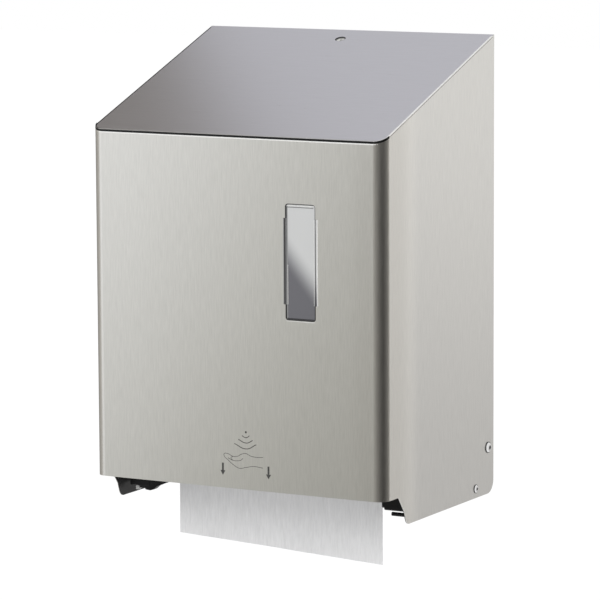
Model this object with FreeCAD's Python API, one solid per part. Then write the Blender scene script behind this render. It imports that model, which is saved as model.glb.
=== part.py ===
# Automatic roll towel dispenser with a hinged sheet steel hood
# X runs to the right seen from the front, the front faces -Y, the wall is the plane Y = 0
# Heights are worked out from the front panel's lower edge, and save() moves them to the wall mount
import FreeCAD
import Part
import math
import os

Vector = FreeCAD.Vector

# Paper roll
roll_width = 210.0
roll_radius = 95.0
roll_height = 245.0
core_bore = 19.0
core_wall = 1.5
paper_thickness = 0.3
tail_left_drop = 62.9
tail_right_drop = 73.6

# Hood, bent from sheet
hood_sheet = 1.0
hood_bend = 9.5
roll_top_room = 70.0
top_rise = 79.0
skirt_drop = 26.5
skirt_rear_corner = 12.0
skirt_notch = 27.0
skirt_front_corner = 7.0
notch_shelf = 11.0
notch_shelf_drop = 14.2
notch_run = 15.5
front_room = 17.0
top_seam = 1.2
top_flange = 10.0
flange_inset = 8.0
window_centre = 65.5
window_width = 30.0
window_height = 102.0
window_bottom = 154.5
window_corner = 2.5
window_wall = 2.0
window_rim = 4.0
window_recess = 0.2
window_ear = 1.7
window_ear_low = 14.0
window_ear_high = 12.0
window_ear_proud = 0.6
window_ear_neck = 1.0
window_pane_edge = 2.5

# Back plate and the hood's pivots
plate_sheet = 1.2
plate_bend = 1.5
plate_top_room = 29.0
plate_bottom = -22.0
plate_flange = 14.0
ear_depth = 80.0
ear_top = 40.0
ear_slant = 20.0
ear_corner = 8.0
wall_gap = 0.7
side_gap = 0.3
roll_back_room = 8.8
pivot_depth = 37.4
pivot_height = -17.9
pivot_shank = 2.5
pivot_head = 4.0
pivot_head_height = 1.0
stop_depth = 12.2
stop_height = 16.5
stop_shank = 2.0
stop_head = 5.0
stop_head_height = 2.3
nut_flats = 4.0
nut_height = 3.0
hood_swing = 85.0

# Wall mount
mount_height = 250.0
mount_spacing_x = 250.0
mount_spacing_z = 160.0
mount_hole = 3.25

# Lock in the slanted top
lock_depth = 20.0
lock_plug_radius = 4.7
lock_hole = 5.0
lock_body_radius = 6.2
lock_body_length = 13.0
lock_recess = 1.6
keyway_width = 2.2
keyway_length = 6.4
keyway_depth = 9.0
plug_foot = 0.5
cam_width = 7.0
cam_sheet = 1.6
cam_reach = 11.5
cam_rivet_radius = 2.6
cam_rivet_height = 1.2
strike_sheet = 1.5
strike_room = 1.3
strike_tip = 3.5
strike_foot = 18.0
strike_foot_low = 22.0
strike_foot_high = 4.0

# Chassis of the paper drive
cheek_offset = 13.0
cheek_wall = 3.0
cover_wall = 2.0
lever_room = 3.7
chassis_front = 166.0
chassis_top = 92.0
chassis_drop = 16.0
rear_wall = 3.0
rear_wall_over_box = 40.2
rear_wall_vent = 24.0
vent_inset = 20.0
cheek_step = 12.0
cheek_step_depth = 36.0
cradle_gap = 5.0
cradle_wall = 2.0
cradle_first = 242.0
cradle_last = 290.0
beam_wall = 2.5
beam_bottom = 4.0
beam_top = 24.0
tear_sheet = 1.2
tear_drop = 2.0
tooth_pitch = 5.0
tooth_depth = 3.0
tear_hook = 6.0
tear_room = 6.0
outlet_sheet = 2.0
outlet_room = 4.0
outlet_low = -10.0
outlet_rear = 98.0
outlet_under = 5.0
chassis_rake = 6.0
screw_flats = 3.5
screw_head = 2.4
chassis_shank = 2.0
chassis_screw_inset = 12.0
chassis_screw_low = 4.0
chassis_screw_drop = 14.0
cover_rear = 58.0
cover_overhang = 1.5
cover_corner = 8.0
foot_corner = 2.0
snap_depths = [80.0, 140.0]
snap_width = 10.0
snap_sheet = 1.6
snap_bite = 1.5

# Rollers and gears
feed_radius = 12.0
feed_shaft_radius = 3.0
feed_height = 40.0
feed_depth = 127.0
pinch_radius = 9.0
pinch_shaft_radius = 2.5
pinch_slot = 9.0
pinch_slot_front = 9.0
pinch_slot_rear = 4.0
nip_gap = 1.0
sleeve_count = 2
sleeve_gap = 9.0
gear_module = 1.25
gear_face = 6.0
gear_gap = 2.0
feed_teeth = 28
small_teeth = 12
big_teeth = 32
pinion_teeth = 10
idler_angle = 16.26
motor_angle = 22.62
pressure_angle = 25.0
backlash = 0.2
idler_pin_radius = 2.0
bush_side = 11.0
bush_rim = 1.5
guide_bar_radius = 3.0
guide_bar_height = 80.0

# Motor
motor_radius = 14.0
motor_length = 46.0
motor_flats = 24.0
motor_boss_radius = 4.0
motor_shaft_radius = 1.6
motor_shaft_depth = 5.0

# Pinch frame and its release lever
frame_pivot_radius = 2.5
frame_pivot_forward = 9.0
frame_pivot_rise = 26.0
frame_arm = 3.0
frame_arm_room = 5.5
frame_eye = 6.0
frame_waist = 2.0
frame_nose = 5.0
frame_bar = 1.5
lever_drop = 87.5
lever_plate = 2.0
lever_eye = 5.0
lever_tip = 3.2
lever_rod_radius = 1.8
lever_rod_length = 19.0
pinch_wire = 0.9
pinch_spring_length = 8.0

# Roll arms and hubs
arm_sheet = 2.5
arm_height = 34.0
arm_tip_room = 16.0
arm_tip_corner = 15.0
arm_foot = 24.0
arm_grip = 14.0
arm_grip_half = 12.0
hub_flange = 4.0
hub_flange_radius = 26.0
hub_nose = 14.0
hub_pin_radius = 4.0
hub_fin = 3.0
hub_taper = 5.0
hub_core_gap = 0.4
arm_pivot_depth = 14.0
arm_pivot_radius = 2.5
arm_knuckle = 5.5
arm_lug = 3.0
arm_lug_bevel = 3.0
arm_wire = 1.1

# Batteries
cell_radius = 17.0
cell_length = 61.5
cell_gap = 0.6
contact_room = 4.0
contact_side = 18.0
contact_sheet = 0.5
box_wall = 2.0
box_bottom = 36.0
box_side_room = 2.0
lid_sheet = 1.8
lid_gap = 0.2
lid_edge = 0.8
lid_rail = 3.0
lid_rib = 1.0
lid_rib_pitch = 3.0
lid_ribs = 4
lid_rib_inset = 45.0
lid_rib_rise = 8.0

# Electronics and controls
board_height = 76.0
board_sheet = 1.6
board_box_room = 12.4
board_side_room = 10.0
board_bottom = 42.0
standoff = 5.0
chip_side = 14.0
chip_right = 31.0
chip_height = 2.0
plug_left = 10.0
plug_length = 24.0
plug_rise = 4.0
plug_width = 7.0
plug_height = 8.0
relay_right = 8.0
relay_length = 16.0
relay_drop = 13.0
relay_width = 19.0
relay_height = 12.0
sounder_radius = 6.0
sounder_height = 8.0
sounder_left = 20.0
sounder_drop = 18.0
rail_bite = 1.5
rail_wall = 2.0
sensor_centre = 9.0
sensor_width = 58.0
sensor_depth = 36.0
sensor_height = 15.0
sensor_low = 5.0
sensor_border = 12.0
sensor_pocket_rear = 8.0
sensor_pocket_front = 26.0
rocker_height = 17.0
rocker_pivot = 2.5
rocker_half = 8.0
rocker_width = 7.2
rocker_opening = 9.0
rocker_swing_room = 1.2
slider_height = 43.0
slider_knob = 5.0
slider_travel = 3.0
lamp_height = 62.0
lamp_radius = 2.5
button_depth = 160.0
button_width = 3.0
button_length = 5.0
button_top = -8.5
button_room = 0.8
button_lift = 4.5
button_edge = 0.8
button_flange = 2.0

# Running and seating clearances
running = 0.06
seat = 0.05
clear = 0.3

# Places that follow from the sizes above
half_roll = roll_width / 2
cheek_in = half_roll + cheek_offset
cheek_out = cheek_in + cheek_wall
gear_plane_b = cheek_out + gear_gap
gear_plane_a = gear_plane_b + gear_face + gear_gap
cover_in = gear_plane_a + gear_face + gear_gap + clear
cover_out = cover_in + cover_wall
plate_in = cover_out + lever_room
plate_out = plate_in + plate_sheet
hood_in = plate_out + side_gap
hood_out = hood_in + hood_sheet
roll_y = -(plate_sheet + roll_back_room + roll_radius)
front_y = roll_y - roll_radius - front_room - hood_sheet
front_height = roll_height + roll_top_room
hood_top = front_height + top_rise
plate_top = hood_top - plate_top_room
slope = math.atan2(top_rise, -front_y)
pivot_y = -pivot_depth
stop_y = -stop_depth
wall_face = -plate_sheet - rear_wall
feed_y = -feed_depth
paper_y = feed_y - feed_radius - nip_gap / 2
pinch_y = feed_y - feed_radius - nip_gap - pinch_radius
frame_pivot_y = pinch_y - frame_pivot_forward
frame_pivot_z = feed_height + frame_pivot_rise
feed_pitch = gear_module * feed_teeth / 2
small_pitch = gear_module * small_teeth / 2
big_pitch = gear_module * big_teeth / 2
pinion_pitch = gear_module * pinion_teeth / 2
idler_y = feed_y + (feed_pitch + small_pitch) * math.cos(math.radians(idler_angle))
idler_z = feed_height + (feed_pitch + small_pitch) * math.sin(math.radians(idler_angle))
motor_y = idler_y + (big_pitch + pinion_pitch) * math.cos(math.radians(motor_angle))
motor_z = idler_z + (big_pitch + pinion_pitch) * math.sin(math.radians(motor_angle))
chassis_y = -chassis_front
box_left = -cheek_in + box_side_room
box_right = box_left + 2 * (box_wall + contact_room + cell_length) + cell_gap
box_top = box_bottom + 2 * box_wall + 4 * cell_radius + 3 * cell_gap
rear_wall_top = max(roll_height - roll_radius, box_top + rear_wall_over_box)
board_left = box_right + board_box_room
board_right = cheek_in - board_side_room
tear_y = paper_y - tear_room - paper_thickness / 2
beam_y = tear_y - tear_sheet


# Points of an outline in a plane, w along its normal
def plane_point(plane, u, v, w):
    if plane == "yz":
        return Vector(w, u, v)
    if plane == "xy":
        return Vector(u, v, w)
    return Vector(u, w, v)


# Unit vector from one outline point to the next
def heading(start, end):
    length = math.hypot(end[0] - start[0], end[1] - start[1])
    return (end[0] - start[0]) / length, (end[1] - start[1]) / length


# Closed outline with its corners rounded by the radii given
def outline(plane, points, radii, w):
    count = len(points)
    entries = []
    exits = []
    arcs = []
    for i in range(count):
        corner = points[i]
        back = heading(corner, points[i - 1])
        ahead = heading(corner, points[(i + 1) % count])
        radius = radii[i]
        cosine = back[0] * ahead[0] + back[1] * ahead[1]
        half_angle = math.acos(max(-1.0, min(1.0, cosine))) / 2
        if radius <= 0 or half_angle > math.radians(89.9):
            entries.append(corner)
            exits.append(corner)
            arcs.append(None)
            continue
        run = radius / math.tan(half_angle)
        entries.append((corner[0] + back[0] * run, corner[1] + back[1] * run))
        exits.append((corner[0] + ahead[0] * run, corner[1] + ahead[1] * run))
        middle = heading((0, 0), (back[0] + ahead[0], back[1] + ahead[1]))
        reach = radius / math.sin(half_angle) - radius
        arcs.append((corner[0] + middle[0] * reach, corner[1] + middle[1] * reach))
    edges = []
    for i in range(count):
        start = plane_point(plane, *entries[i], w)
        end = plane_point(plane, *exits[i], w)
        following = plane_point(plane, *entries[(i + 1) % count], w)
        if arcs[i] is not None:
            edges.append(Part.Arc(start, plane_point(plane, *arcs[i], w), end).toShape())
        if end.distanceToPoint(following) > 1e-6:
            edges.append(Part.LineSegment(end, following).toShape())
    return Part.Wire(edges)


# Straight prism over a rounded outline
def prism(plane, points, start, end, radii=None):
    corner_radii = radii or [0] * len(points)
    face = Part.Face(outline(plane, points, corner_radii, start))
    direction = plane_point(plane, 0, 0, end - start)
    return face.extrude(direction)


# Outline of a bent strip along a middle line, with its bends' inner radius
def strip(points, thickness, bend):
    left = []
    right = []
    left_radii = []
    right_radii = []
    last = len(points) - 1
    for i, (u, v) in enumerate(points):
        into = heading(points[i - 1], points[i]) if i > 0 else heading(points[0], points[1])
        out = heading(points[i], points[i + 1]) if i < last else into
        turn = into[0] * out[1] - into[1] * out[0]
        dot = into[0] * out[0] + into[1] * out[1]
        scale = thickness / 2 / (1 + dot)
        du = -(into[1] + out[1]) * scale
        dv = (into[0] + out[0]) * scale
        left.append((u + du, v + dv))
        right.append((u - du, v - dv))
        bent = 0 < i < last
        left_radii.append((bend if turn > 0 else bend + thickness) if bent else 0)
        right_radii.append((bend + thickness if turn > 0 else bend) if bent else 0)
    return left + right[::-1], left_radii + right_radii[::-1]


def bent_sheet(plane, points, thickness, bend, start, end):
    points, radii = strip(points, thickness, bend)
    return prism(plane, points, start, end, radii)


def block(x0, x1, y0, y1, z0, z1):
    return Part.makeBox(x1 - x0, y1 - y0, z1 - z0, Vector(x0, y0, z0))


# Cylinder along X
def rod(radius, x0, x1, y, z):
    return Part.makeCylinder(radius, x1 - x0, Vector(x0, y, z), Vector(1, 0, 0))


def tube(outer, inner, x0, x1, y, z):
    return rod(outer, x0, x1, y, z).cut(rod(inner, x0, x1, y, z))


# Turn a piece made along +Z to another direction and put it in place
def placed(shape, base, direction):
    turned = shape.copy()
    turned.Placement = FreeCAD.Placement(base, FreeCAD.Rotation(Vector(0, 0, 1), direction))
    return turned


# Screw with a plain head that stands on its base, shank below
def screw(head, shank_radius, length):
    shank = Part.makeCylinder(shank_radius, length, Vector(0, 0, -length))
    return head.fuse(shank)


# Hexagonal prism, by its radius over flats
def hexagon(flat_radius, height):
    corner = flat_radius / math.cos(math.radians(30))
    points = []
    for i in range(6):
        angle = math.radians(60 * i)
        points.append((corner * math.cos(angle), corner * math.sin(angle)))
    return prism("xy", points, 0, height)


# Closely wound spring around a pin along +Z, as its outer form
def spring_sleeve(pin_radius, wire, length):
    inner = pin_radius + clear
    sleeve = Part.makeCylinder(inner + wire, length)
    return sleeve.cut(Part.makeCylinder(inner, length))


# Outline of a spur gear with involute flanks
def gear_points(teeth, phase):
    pitch_radius = gear_module * teeth / 2
    base_radius = pitch_radius * math.cos(math.radians(pressure_angle))
    tip_radius = pitch_radius + gear_module * 0.85
    root_radius = pitch_radius - gear_module * 1.15
    half_tooth = math.pi / 2 / teeth - backlash / 2 / pitch_radius

    def roll_angle(radius):
        ratio = max(radius / base_radius, 1.0)
        swing = math.sqrt(ratio * ratio - 1)
        return swing - math.atan(swing)

    steps = [root_radius, pitch_radius, tip_radius]
    flank = []
    for radius in steps:
        flank.append((radius, half_tooth + roll_angle(pitch_radius) - roll_angle(radius)))
    points = []
    for tooth in range(teeth):
        middle = phase + 2 * math.pi * tooth / teeth
        for radius, offset in flank:
            points.append((radius * math.cos(middle - offset), radius * math.sin(middle - offset)))
        for radius, offset in flank[::-1]:
            points.append((radius * math.cos(middle + offset), radius * math.sin(middle + offset)))
    return points


def gear(teeth, phase, bore, x0, x1, y, z):
    points = [(y + u, z + v) for u, v in gear_points(teeth, phase)]
    return prism("yz", points, x0, x1).cut(rod(bore, x0, x1, y, z))


def mirrored(shape):
    return shape.mirror(Vector(0, 0, 0), Vector(1, 0, 0))


def group(shapes):
    return Part.makeCompound(shapes)


# Height of the slanted top's outer face over a depth
def slant_height(y):
    return hood_top + y * math.tan(slope)


# Slab under the slanted top's outer face, between two depths along its normal
def slanted_slab(upper, lower, y0, y1):
    rise = 1 / math.cos(slope)
    points = [
        (y0, slant_height(y0) - lower * rise),
        (y1, slant_height(y1) - lower * rise),
        (y1, slant_height(y1) - upper * rise),
        (y0, slant_height(y0) - upper * rise),
    ]
    return prism("yz", points, -hood_out, hood_out)


# Move a piece built on the slanted top's face, with +Z as the face's normal
def on_slant(shape):
    base = Vector(0, -lock_depth, slant_height(-lock_depth))
    moved = shape.copy()
    moved.Placement = FreeCAD.Placement(base, FreeCAD.Rotation(Vector(1, 0, 0), math.degrees(slope)))
    return moved


# Hood: front and sides from one bent sheet
def front_cover():
    middle = hood_out - hood_sheet / 2
    front = front_y + hood_sheet / 2
    path = [(-middle, -wall_gap), (-middle, front), (middle, front), (middle, -wall_gap)]
    wrap = bent_sheet("xy", path, hood_sheet, hood_bend, -skirt_drop, hood_top)
    notch_y = front_y + skirt_notch
    side = [
        (-wall_gap, -skirt_drop),
        (-wall_gap, slant_height(-wall_gap)),
        (front_y - 1, slant_height(front_y - 1)),
        (front_y - 1, 0),
        (notch_y, 0),
        (notch_y + notch_shelf, -notch_shelf_drop),
        (notch_y + notch_run, -skirt_drop),
    ]
    corners = [skirt_rear_corner, 0, 0, 0, 3, 0, skirt_front_corner]
    cover = wrap.common(prism("yz", side, -hood_out, hood_out, corners))
    half = window_width / 2
    slot = [
        (window_centre - half, window_bottom),
        (window_centre + half, window_bottom),
        (window_centre + half, window_bottom + window_height),
        (window_centre - half, window_bottom + window_height),
    ]
    cover = cover.cut(prism("xz", slot, front_y - 1, front_y + hood_sheet + 1, [window_corner] * 4))
    cover = cover.cut(rod(pivot_shank + running, -hood_out, hood_out, pivot_y, pivot_height))
    return cover.cut(rod(stop_shank + seat, -hood_out, hood_out, stop_y, stop_height))


# Hood: slanted top let in between the sides, with its welding flanges
def slanted_top():
    side = hood_in - seat
    front = front_y + top_seam
    rear = -wall_gap
    corner = hood_bend - seat
    plan = [(-side, rear), (-side, front), (side, front), (side, rear)]
    column = prism("xy", plan, 0, hood_top, [0, corner, corner, 0])
    plate = column.common(slanted_slab(0, hood_sheet, front_y, 0))
    flange_front = front_y + hood_bend + flange_inset
    flange_rear = -pivot_depth - 4
    for sign in (-1, 1):
        near = sorted((sign * side, sign * (side - hood_sheet)))
        strip_box = block(near[0], near[1], flange_front, flange_rear, 0, hood_top)
        plate = plate.fuse(strip_box.common(slanted_slab(0, top_flange, front_y, 0)))
    inner = side - hood_bend - 3
    for y0 in (front_y + hood_sheet + seat, rear - hood_sheet):
        flange = block(-inner, inner, y0, y0 + hood_sheet, 0, hood_top)
        plate = plate.fuse(flange.common(slanted_slab(0.2, top_flange, front_y, 0)))
    hole = Part.makeCylinder(lock_hole, 4 * hood_sheet, Vector(0, 0, -2 * hood_sheet))
    return plate.cut(on_slant(hole)).removeSplitter()


# Hood: clear level window with a rim behind the sheet and a face in the slot
def level_window():
    face_half = window_width / 2 - seat
    rim_half = window_width / 2 + window_rim
    centre = window_centre
    top = window_bottom + window_height
    inside = front_y + hood_sheet + seat

    def frame_points(half, low, high):
        return [(centre - half, low), (centre + half, low), (centre + half, high), (centre - half, high)]

    face = prism("xz", frame_points(face_half, window_bottom + seat, top - seat),
                 front_y + window_recess, inside + window_wall, [window_corner] * 4)
    rim = prism("xz", frame_points(rim_half, window_bottom - window_rim, top + window_rim),
                inside, inside + window_wall)
    ear_half = window_width / 2 + window_ear
    ear_low = window_bottom + window_ear_low
    ear_high = top - window_ear_high
    ear_front = front_y - window_ear_proud
    ears = prism("xz", frame_points(ear_half, ear_low, ear_high), ear_front, front_y - seat)
    neck = prism("xz", frame_points(face_half, ear_low, ear_high), ear_front, front_y + 2 * window_recess)
    between = prism("xz", frame_points(face_half - window_ear_neck, ear_low - 1, ear_high + 1),
                    ear_front - 1, front_y + window_recess)
    pane_low = window_bottom + window_pane_edge
    pane_high = top - window_pane_edge
    hollow = prism("xz", frame_points(face_half - window_pane_edge, pane_low, pane_high),
                   front_y + hood_sheet + 1, inside + window_wall + 1)
    lips = ears.fuse(neck).cut(between)
    return face.fuse([rim, lips]).cut(hollow).removeSplitter()


def side_screws(y, z, head_radius, head_height, shank_radius, tip):
    length = hood_out + seat - tip
    one = screw(Part.makeCylinder(head_radius, head_height), shank_radius, length)
    right = placed(one, Vector(hood_out + seat, y, z), Vector(1, 0, 0))
    return group([mirrored(right), right])


# Ring sector that the stop screw runs in, cut through the ears
def stop_slot():
    start = math.atan2(stop_height - pivot_height, stop_y - pivot_y)
    end = start + math.radians(hood_swing)
    radius = math.hypot(stop_height - pivot_height, stop_y - pivot_y)
    half = stop_shank + 0.3

    def point(distance, angle):
        along = pivot_y + distance * math.cos(angle)
        return Vector(-plate_out, along, pivot_height + distance * math.sin(angle))

    middle = (start + end) / 2
    over = half / radius
    edges = [
        Part.Arc(point(radius + half, start), point(radius + half, middle), point(radius + half, end)),
        Part.Arc(point(radius + half, end), point(radius, end + over), point(radius - half, end)),
        Part.Arc(point(radius - half, end), point(radius - half, middle), point(radius - half, start)),
        Part.Arc(point(radius - half, start), point(radius, start - over), point(radius + half, start)),
    ]
    face = Part.Face(Part.Wire([edge.toShape() for edge in edges]))
    return face.extrude(Vector(2 * plate_out, 0, 0))


# Back plate: pan with shallow flanges and deep ears below, screwed to the wall
def back_plate():
    middle = plate_out - plate_sheet / 2
    rear = -plate_sheet / 2
    path = [(-middle, -ear_depth), (-middle, rear), (middle, rear), (middle, -ear_depth)]
    pan = bent_sheet("xy", path, plate_sheet, plate_bend, plate_bottom, plate_top)
    side = [
        (1, plate_bottom),
        (-ear_depth, plate_bottom),
        (-ear_depth, ear_top),
        (-plate_flange, ear_top + ear_slant),
        (-plate_flange, plate_top),
        (1, plate_top),
    ]
    pan = pan.common(prism("yz", side, -plate_out, plate_out, [0, ear_corner, 0, 0, 0, 0]))
    for x in (-mount_spacing_x / 2, mount_spacing_x / 2):
        for z in (mount_height - mount_spacing_z / 2, mount_height + mount_spacing_z / 2):
            start = Vector(x, -2 * plate_sheet, z)
            hole = Part.makeCylinder(mount_hole, 4 * plate_sheet, start, Vector(0, 1, 0))
            pan = pan.cut(hole)
    pan = pan.cut(rod(pivot_shank + seat, -plate_out, plate_out, pivot_y, pivot_height))
    return pan.cut(stop_slot())


def stop_screws():
    tip = plate_in - 1.5
    return side_screws(stop_y, stop_height, stop_head, stop_head_height, stop_shank, tip)


def pivot_screws():
    tip = plate_in - nut_height - 0.5
    return side_screws(pivot_y, pivot_height, pivot_head, pivot_head_height, pivot_shank, tip)


def pivot_nuts():
    nut = hexagon(nut_flats, nut_height).cut(Part.makeCylinder(pivot_shank + seat, nut_height))
    right = placed(nut, Vector(plate_in - nut_height - seat, pivot_y, pivot_height), Vector(1, 0, 0))
    return group([mirrored(right), right])


# Lock: body under the slanted top, plug with its keyway, and the cam riveted to it
def lock_pieces():
    top = -hood_sheet - seat
    body = Part.makeCylinder(lock_body_radius, lock_body_length, Vector(0, 0, top - lock_body_length))
    through = 2 * lock_body_length
    bore = Part.makeCylinder(lock_plug_radius + running, through, Vector(0, 0, -through))
    body = body.cut(bore)
    foot = top - lock_body_length - plug_foot
    plug = Part.makeCylinder(lock_plug_radius, -lock_recess - foot, Vector(0, 0, foot))
    wide = keyway_width / 2
    long = keyway_length / 2
    keyway = block(-wide, wide, -long, long, -lock_recess - keyway_depth, 1)
    plug = plug.cut(keyway)
    cam_top = foot - seat
    half = cam_width / 2
    reach = cam_reach - half
    cam_outline = [(-half, -half - 1), (half, -half - 1), (half, reach + half), (-half, reach + half)]
    cam = prism("xy", cam_outline, cam_top - cam_sheet, cam_top, [2.5, 2.5, 3.0, 3.0])
    rivet_foot = cam_top - cam_sheet - cam_rivet_height
    rivet = Part.makeCylinder(cam_rivet_radius, cam_rivet_height, Vector(0, 0, rivet_foot))
    return on_slant(body), on_slant(plug), on_slant(cam.fuse(rivet))


# Point over the slanted top's lock place, along the slope and up its normal
def slant_point(along, up):
    y = -lock_depth + along * math.cos(slope) - up * math.sin(slope)
    return y, slant_height(-lock_depth) + along * math.sin(slope) + up * math.cos(slope)


# Strike on the back plate: a hook with the turned cam behind its tip
def lock_strike():
    inner = lock_body_radius + 1.0
    face = -plate_sheet - seat
    half = cam_width / 2 + strike_room
    shelf = -hood_sheet - lock_body_length - plug_foot - cam_sheet - 2 * seat - strike_room
    tip = shelf + cam_sheet + 2 * strike_room
    low = plate_top - strike_foot_low
    foot = block(inner, inner + strike_foot, face - strike_sheet, face, low, plate_top - strike_foot_high)
    wall_along = (face + lock_depth + shelf * math.sin(slope)) / math.cos(slope)
    hook = [
        (face, low),
        slant_point(wall_along, shelf),
        slant_point(-half, shelf),
        slant_point(-half, tip),
        slant_point(-half - strike_tip, tip),
        slant_point(-half - strike_tip, shelf - strike_tip),
    ]
    return foot.fuse(prism("yz", hook, inner, inner + strike_sheet)).removeSplitter()


# Chassis rear wall on the back plate, with two grooved rails for the board
def chassis_rear_wall():
    front = wall_face - seat
    bottom = chassis_rake - chassis_drop
    wall = block(-cheek_out, cheek_out, front, -plate_sheet - seat, bottom, rear_wall_top)
    board_rear, board_front = board_faces()
    top = board_bottom + board_height
    rails = [(board_bottom - rail_wall, board_bottom + rail_bite), (top - rail_bite, top + rail_wall)]
    for low, high in rails:
        wall = wall.fuse(block(board_left, board_right, board_front - rail_wall, front, low, high))
    groove = block(board_left - 1, board_right + 1, board_front - seat, board_rear + seat,
                   board_bottom - seat, top + seat)
    vent_side = cheek_in - vent_inset
    vent = block(-vent_side, vent_side, front - 1, 0, 0, rear_wall_vent)
    wall = wall.cut(groove).cut(vent)
    for place in chassis_screw_places():
        wall = wall.cut(Part.makeCylinder(chassis_shank + seat, 2 * rear_wall, place, Vector(0, 1, 0)))
    return wall.removeSplitter()


def board_faces():
    rear = wall_face - standoff - 2 * seat
    return rear, rear - board_sheet


# Lower edge of the chassis over a depth
def chassis_low(y):
    return -chassis_drop + chassis_rake * (y - chassis_y) / (wall_face - chassis_y)


# Cheek plate that carries the rollers, drawn for the right side
def cheek(with_motor):
    rear = wall_face - 2 * seat
    shoulder = rear_wall_top - cheek_step
    points = [
        (rear, chassis_low(rear)),
        (chassis_y, chassis_low(chassis_y)),
        (chassis_y, chassis_top),
        (-cover_rear - cover_wall, chassis_top),
        (-cheek_step_depth, shoulder),
        (rear, shoulder),
    ]
    plate = prism("yz", points, cheek_in, cheek_out, [0, foot_corner, cover_corner, 0, 0, 0])
    holes = [
        (guide_bar_radius + seat, guide_bar_y(), guide_bar_height),
        (frame_pivot_radius + running, frame_pivot_y, frame_pivot_z),
    ]
    if with_motor:
        holes.append((motor_boss_radius + seat, motor_y, motor_z))
        holes.append((idler_pin_radius + seat, idler_y, idler_z))
    for radius, y, z in holes:
        plate = plate.cut(rod(radius, cheek_in - 1, cheek_out + 1, y, z))
    half = bush_side / 2
    slots = [
        (feed_y - half, feed_y + half, half),
        (pinch_y - pinch_slot_front, pinch_y + pinch_slot_rear, pinch_slot / 2),
    ]
    for y0, y1, rise in slots:
        plate = plate.cut(block(cheek_in - 1, cheek_out + 1, y0, y1, feed_height - rise, feed_height + rise))
    return plate


# Snap hook of an end cover, over the cheek's upper or lower edge
def snap_hook(y, sign):
    edge = chassis_top if sign > 0 else chassis_low(y)
    outer = edge + sign * (cover_overhang - clear)
    arm = sorted((edge + sign * clear, outer))
    hook = sorted((edge - sign * snap_bite, outer))
    behind = cheek_in - clear
    half = snap_width / 2
    reach = block(behind - snap_sheet, cheek_out + 1, y - half, y + half, *arm)
    return reach.fuse(block(behind - snap_sheet, behind, y - half, y + half, *hook))


# End cover over a cheek, open towards it
def end_cover():
    front = chassis_y - cover_overhang
    rear = -cover_rear
    top = chassis_top + cover_overhang
    points = [
        (rear, chassis_low(rear) - cover_overhang),
        (front, chassis_low(front) - cover_overhang),
        (front, top),
        (rear, top),
    ]
    wall = cover_wall
    inner = [
        (rear - wall, points[0][1] + wall),
        (front + wall, points[1][1] + wall),
        (front + wall, top - wall),
        (rear - wall, top - wall),
    ]
    start = cheek_out + seat
    shell = prism("yz", points, start, cover_out, [0, foot_corner, cover_corner, 0])
    shell = shell.cut(prism("yz", inner, start - 1, cover_in))
    for depth in snap_depths:
        for sign in (-1, 1):
            shell = shell.fuse(snap_hook(-depth, sign))
    return shell.removeSplitter()


# Right end cover over the gears, with the controls in its front face
def gear_cover():
    middle = control_x()
    front = chassis_y - cover_overhang
    shell = end_cover()
    pivot_hole = frame_pivot_radius + clear
    shell = shell.cut(rod(pivot_hole, cover_in - 1, cover_out + 1, frame_pivot_y, frame_pivot_z))
    rocker_top = rocker_height + rocker_opening + rocker_swing_room
    slider_reach = slider_knob / 2 + slider_travel + clear
    openings = [
        (rocker_width / 2 + clear, rocker_height - rocker_opening, rocker_top),
        (slider_knob / 2, slider_height - slider_reach, slider_height + slider_reach),
    ]
    for half, low, high in openings:
        shell = shell.cut(block(middle - half, middle + half, front - 1, front + cover_wall + 1, low, high))
    lamp = Part.makeCylinder(lamp_radius + seat, 6, Vector(middle, front - 1, lamp_height), Vector(0, 1, 0))
    return shell.cut(lamp)


def button_cover():
    shell = end_cover()
    x = cover_in - button_width / 2 - button_room
    y = -button_depth
    room = clear - seat
    hole = block(x - button_width / 2 - room, x + button_width / 2 + room,
                 y - button_length / 2 - room, y + button_length / 2 + room, -chassis_drop - 5, 0)
    return mirrored(shell.cut(hole))


# Feed button under the left end cover, with its flange inside
def feed_button():
    x = -(cover_in - button_width / 2 - button_room)
    y = -button_depth
    half = button_width / 2
    long = button_length / 2
    low = -skirt_drop + button_lift
    high = button_top
    stem = block(x - half, x + half, y - long, y + long, low, high)
    stem = stem.makeFillet(button_edge, [edge for edge in stem.Edges if edge.BoundBox.ZMax < low + 1])
    flange = block(x - half, x + half + 3, y - long - 2, y + long + 2, high - button_flange, high)
    return stem.fuse(flange).removeSplitter()


def roll_cradle():
    radius = roll_radius + cradle_gap
    outer = radius + cradle_wall
    first = math.radians(cradle_first)
    last = math.radians(cradle_last)

    def point(distance, angle):
        along = roll_y + distance * math.cos(angle)
        return Vector(-cheek_in + 1, along, roll_height + distance * math.sin(angle))

    middle = (first + last) / 2
    rear = wall_face - 2 * seat
    end_low = point(outer, last)
    end_high = point(radius, last)
    wall_low = Vector(end_low.x, rear, end_low.z)
    wall_high = Vector(end_low.x, rear, end_low.z + cradle_wall)
    edges = [
        Part.Arc(point(radius, first), point(radius, middle), end_high),
        Part.LineSegment(end_high, wall_high),
        Part.LineSegment(wall_high, wall_low),
        Part.LineSegment(wall_low, end_low),
        Part.Arc(end_low, point(outer, middle), point(outer, first)),
        Part.LineSegment(point(outer, first), point(radius, first)),
    ]
    face = Part.Face(Part.Wire([edge.toShape() for edge in edges]))
    return face.extrude(Vector(2 * cheek_in - 2, 0, 0))


# Front beam between the cheeks, an open channel
def front_beam():
    half = beam_wall / 2
    front = chassis_y + half
    rear = beam_y - half
    path = [(front, beam_top), (front, beam_bottom + half), (rear, beam_bottom + half), (rear, beam_top)]
    side = cheek_in - seat
    return bent_sheet("yz", path, beam_wall, 1.0, -side, side)


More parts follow.
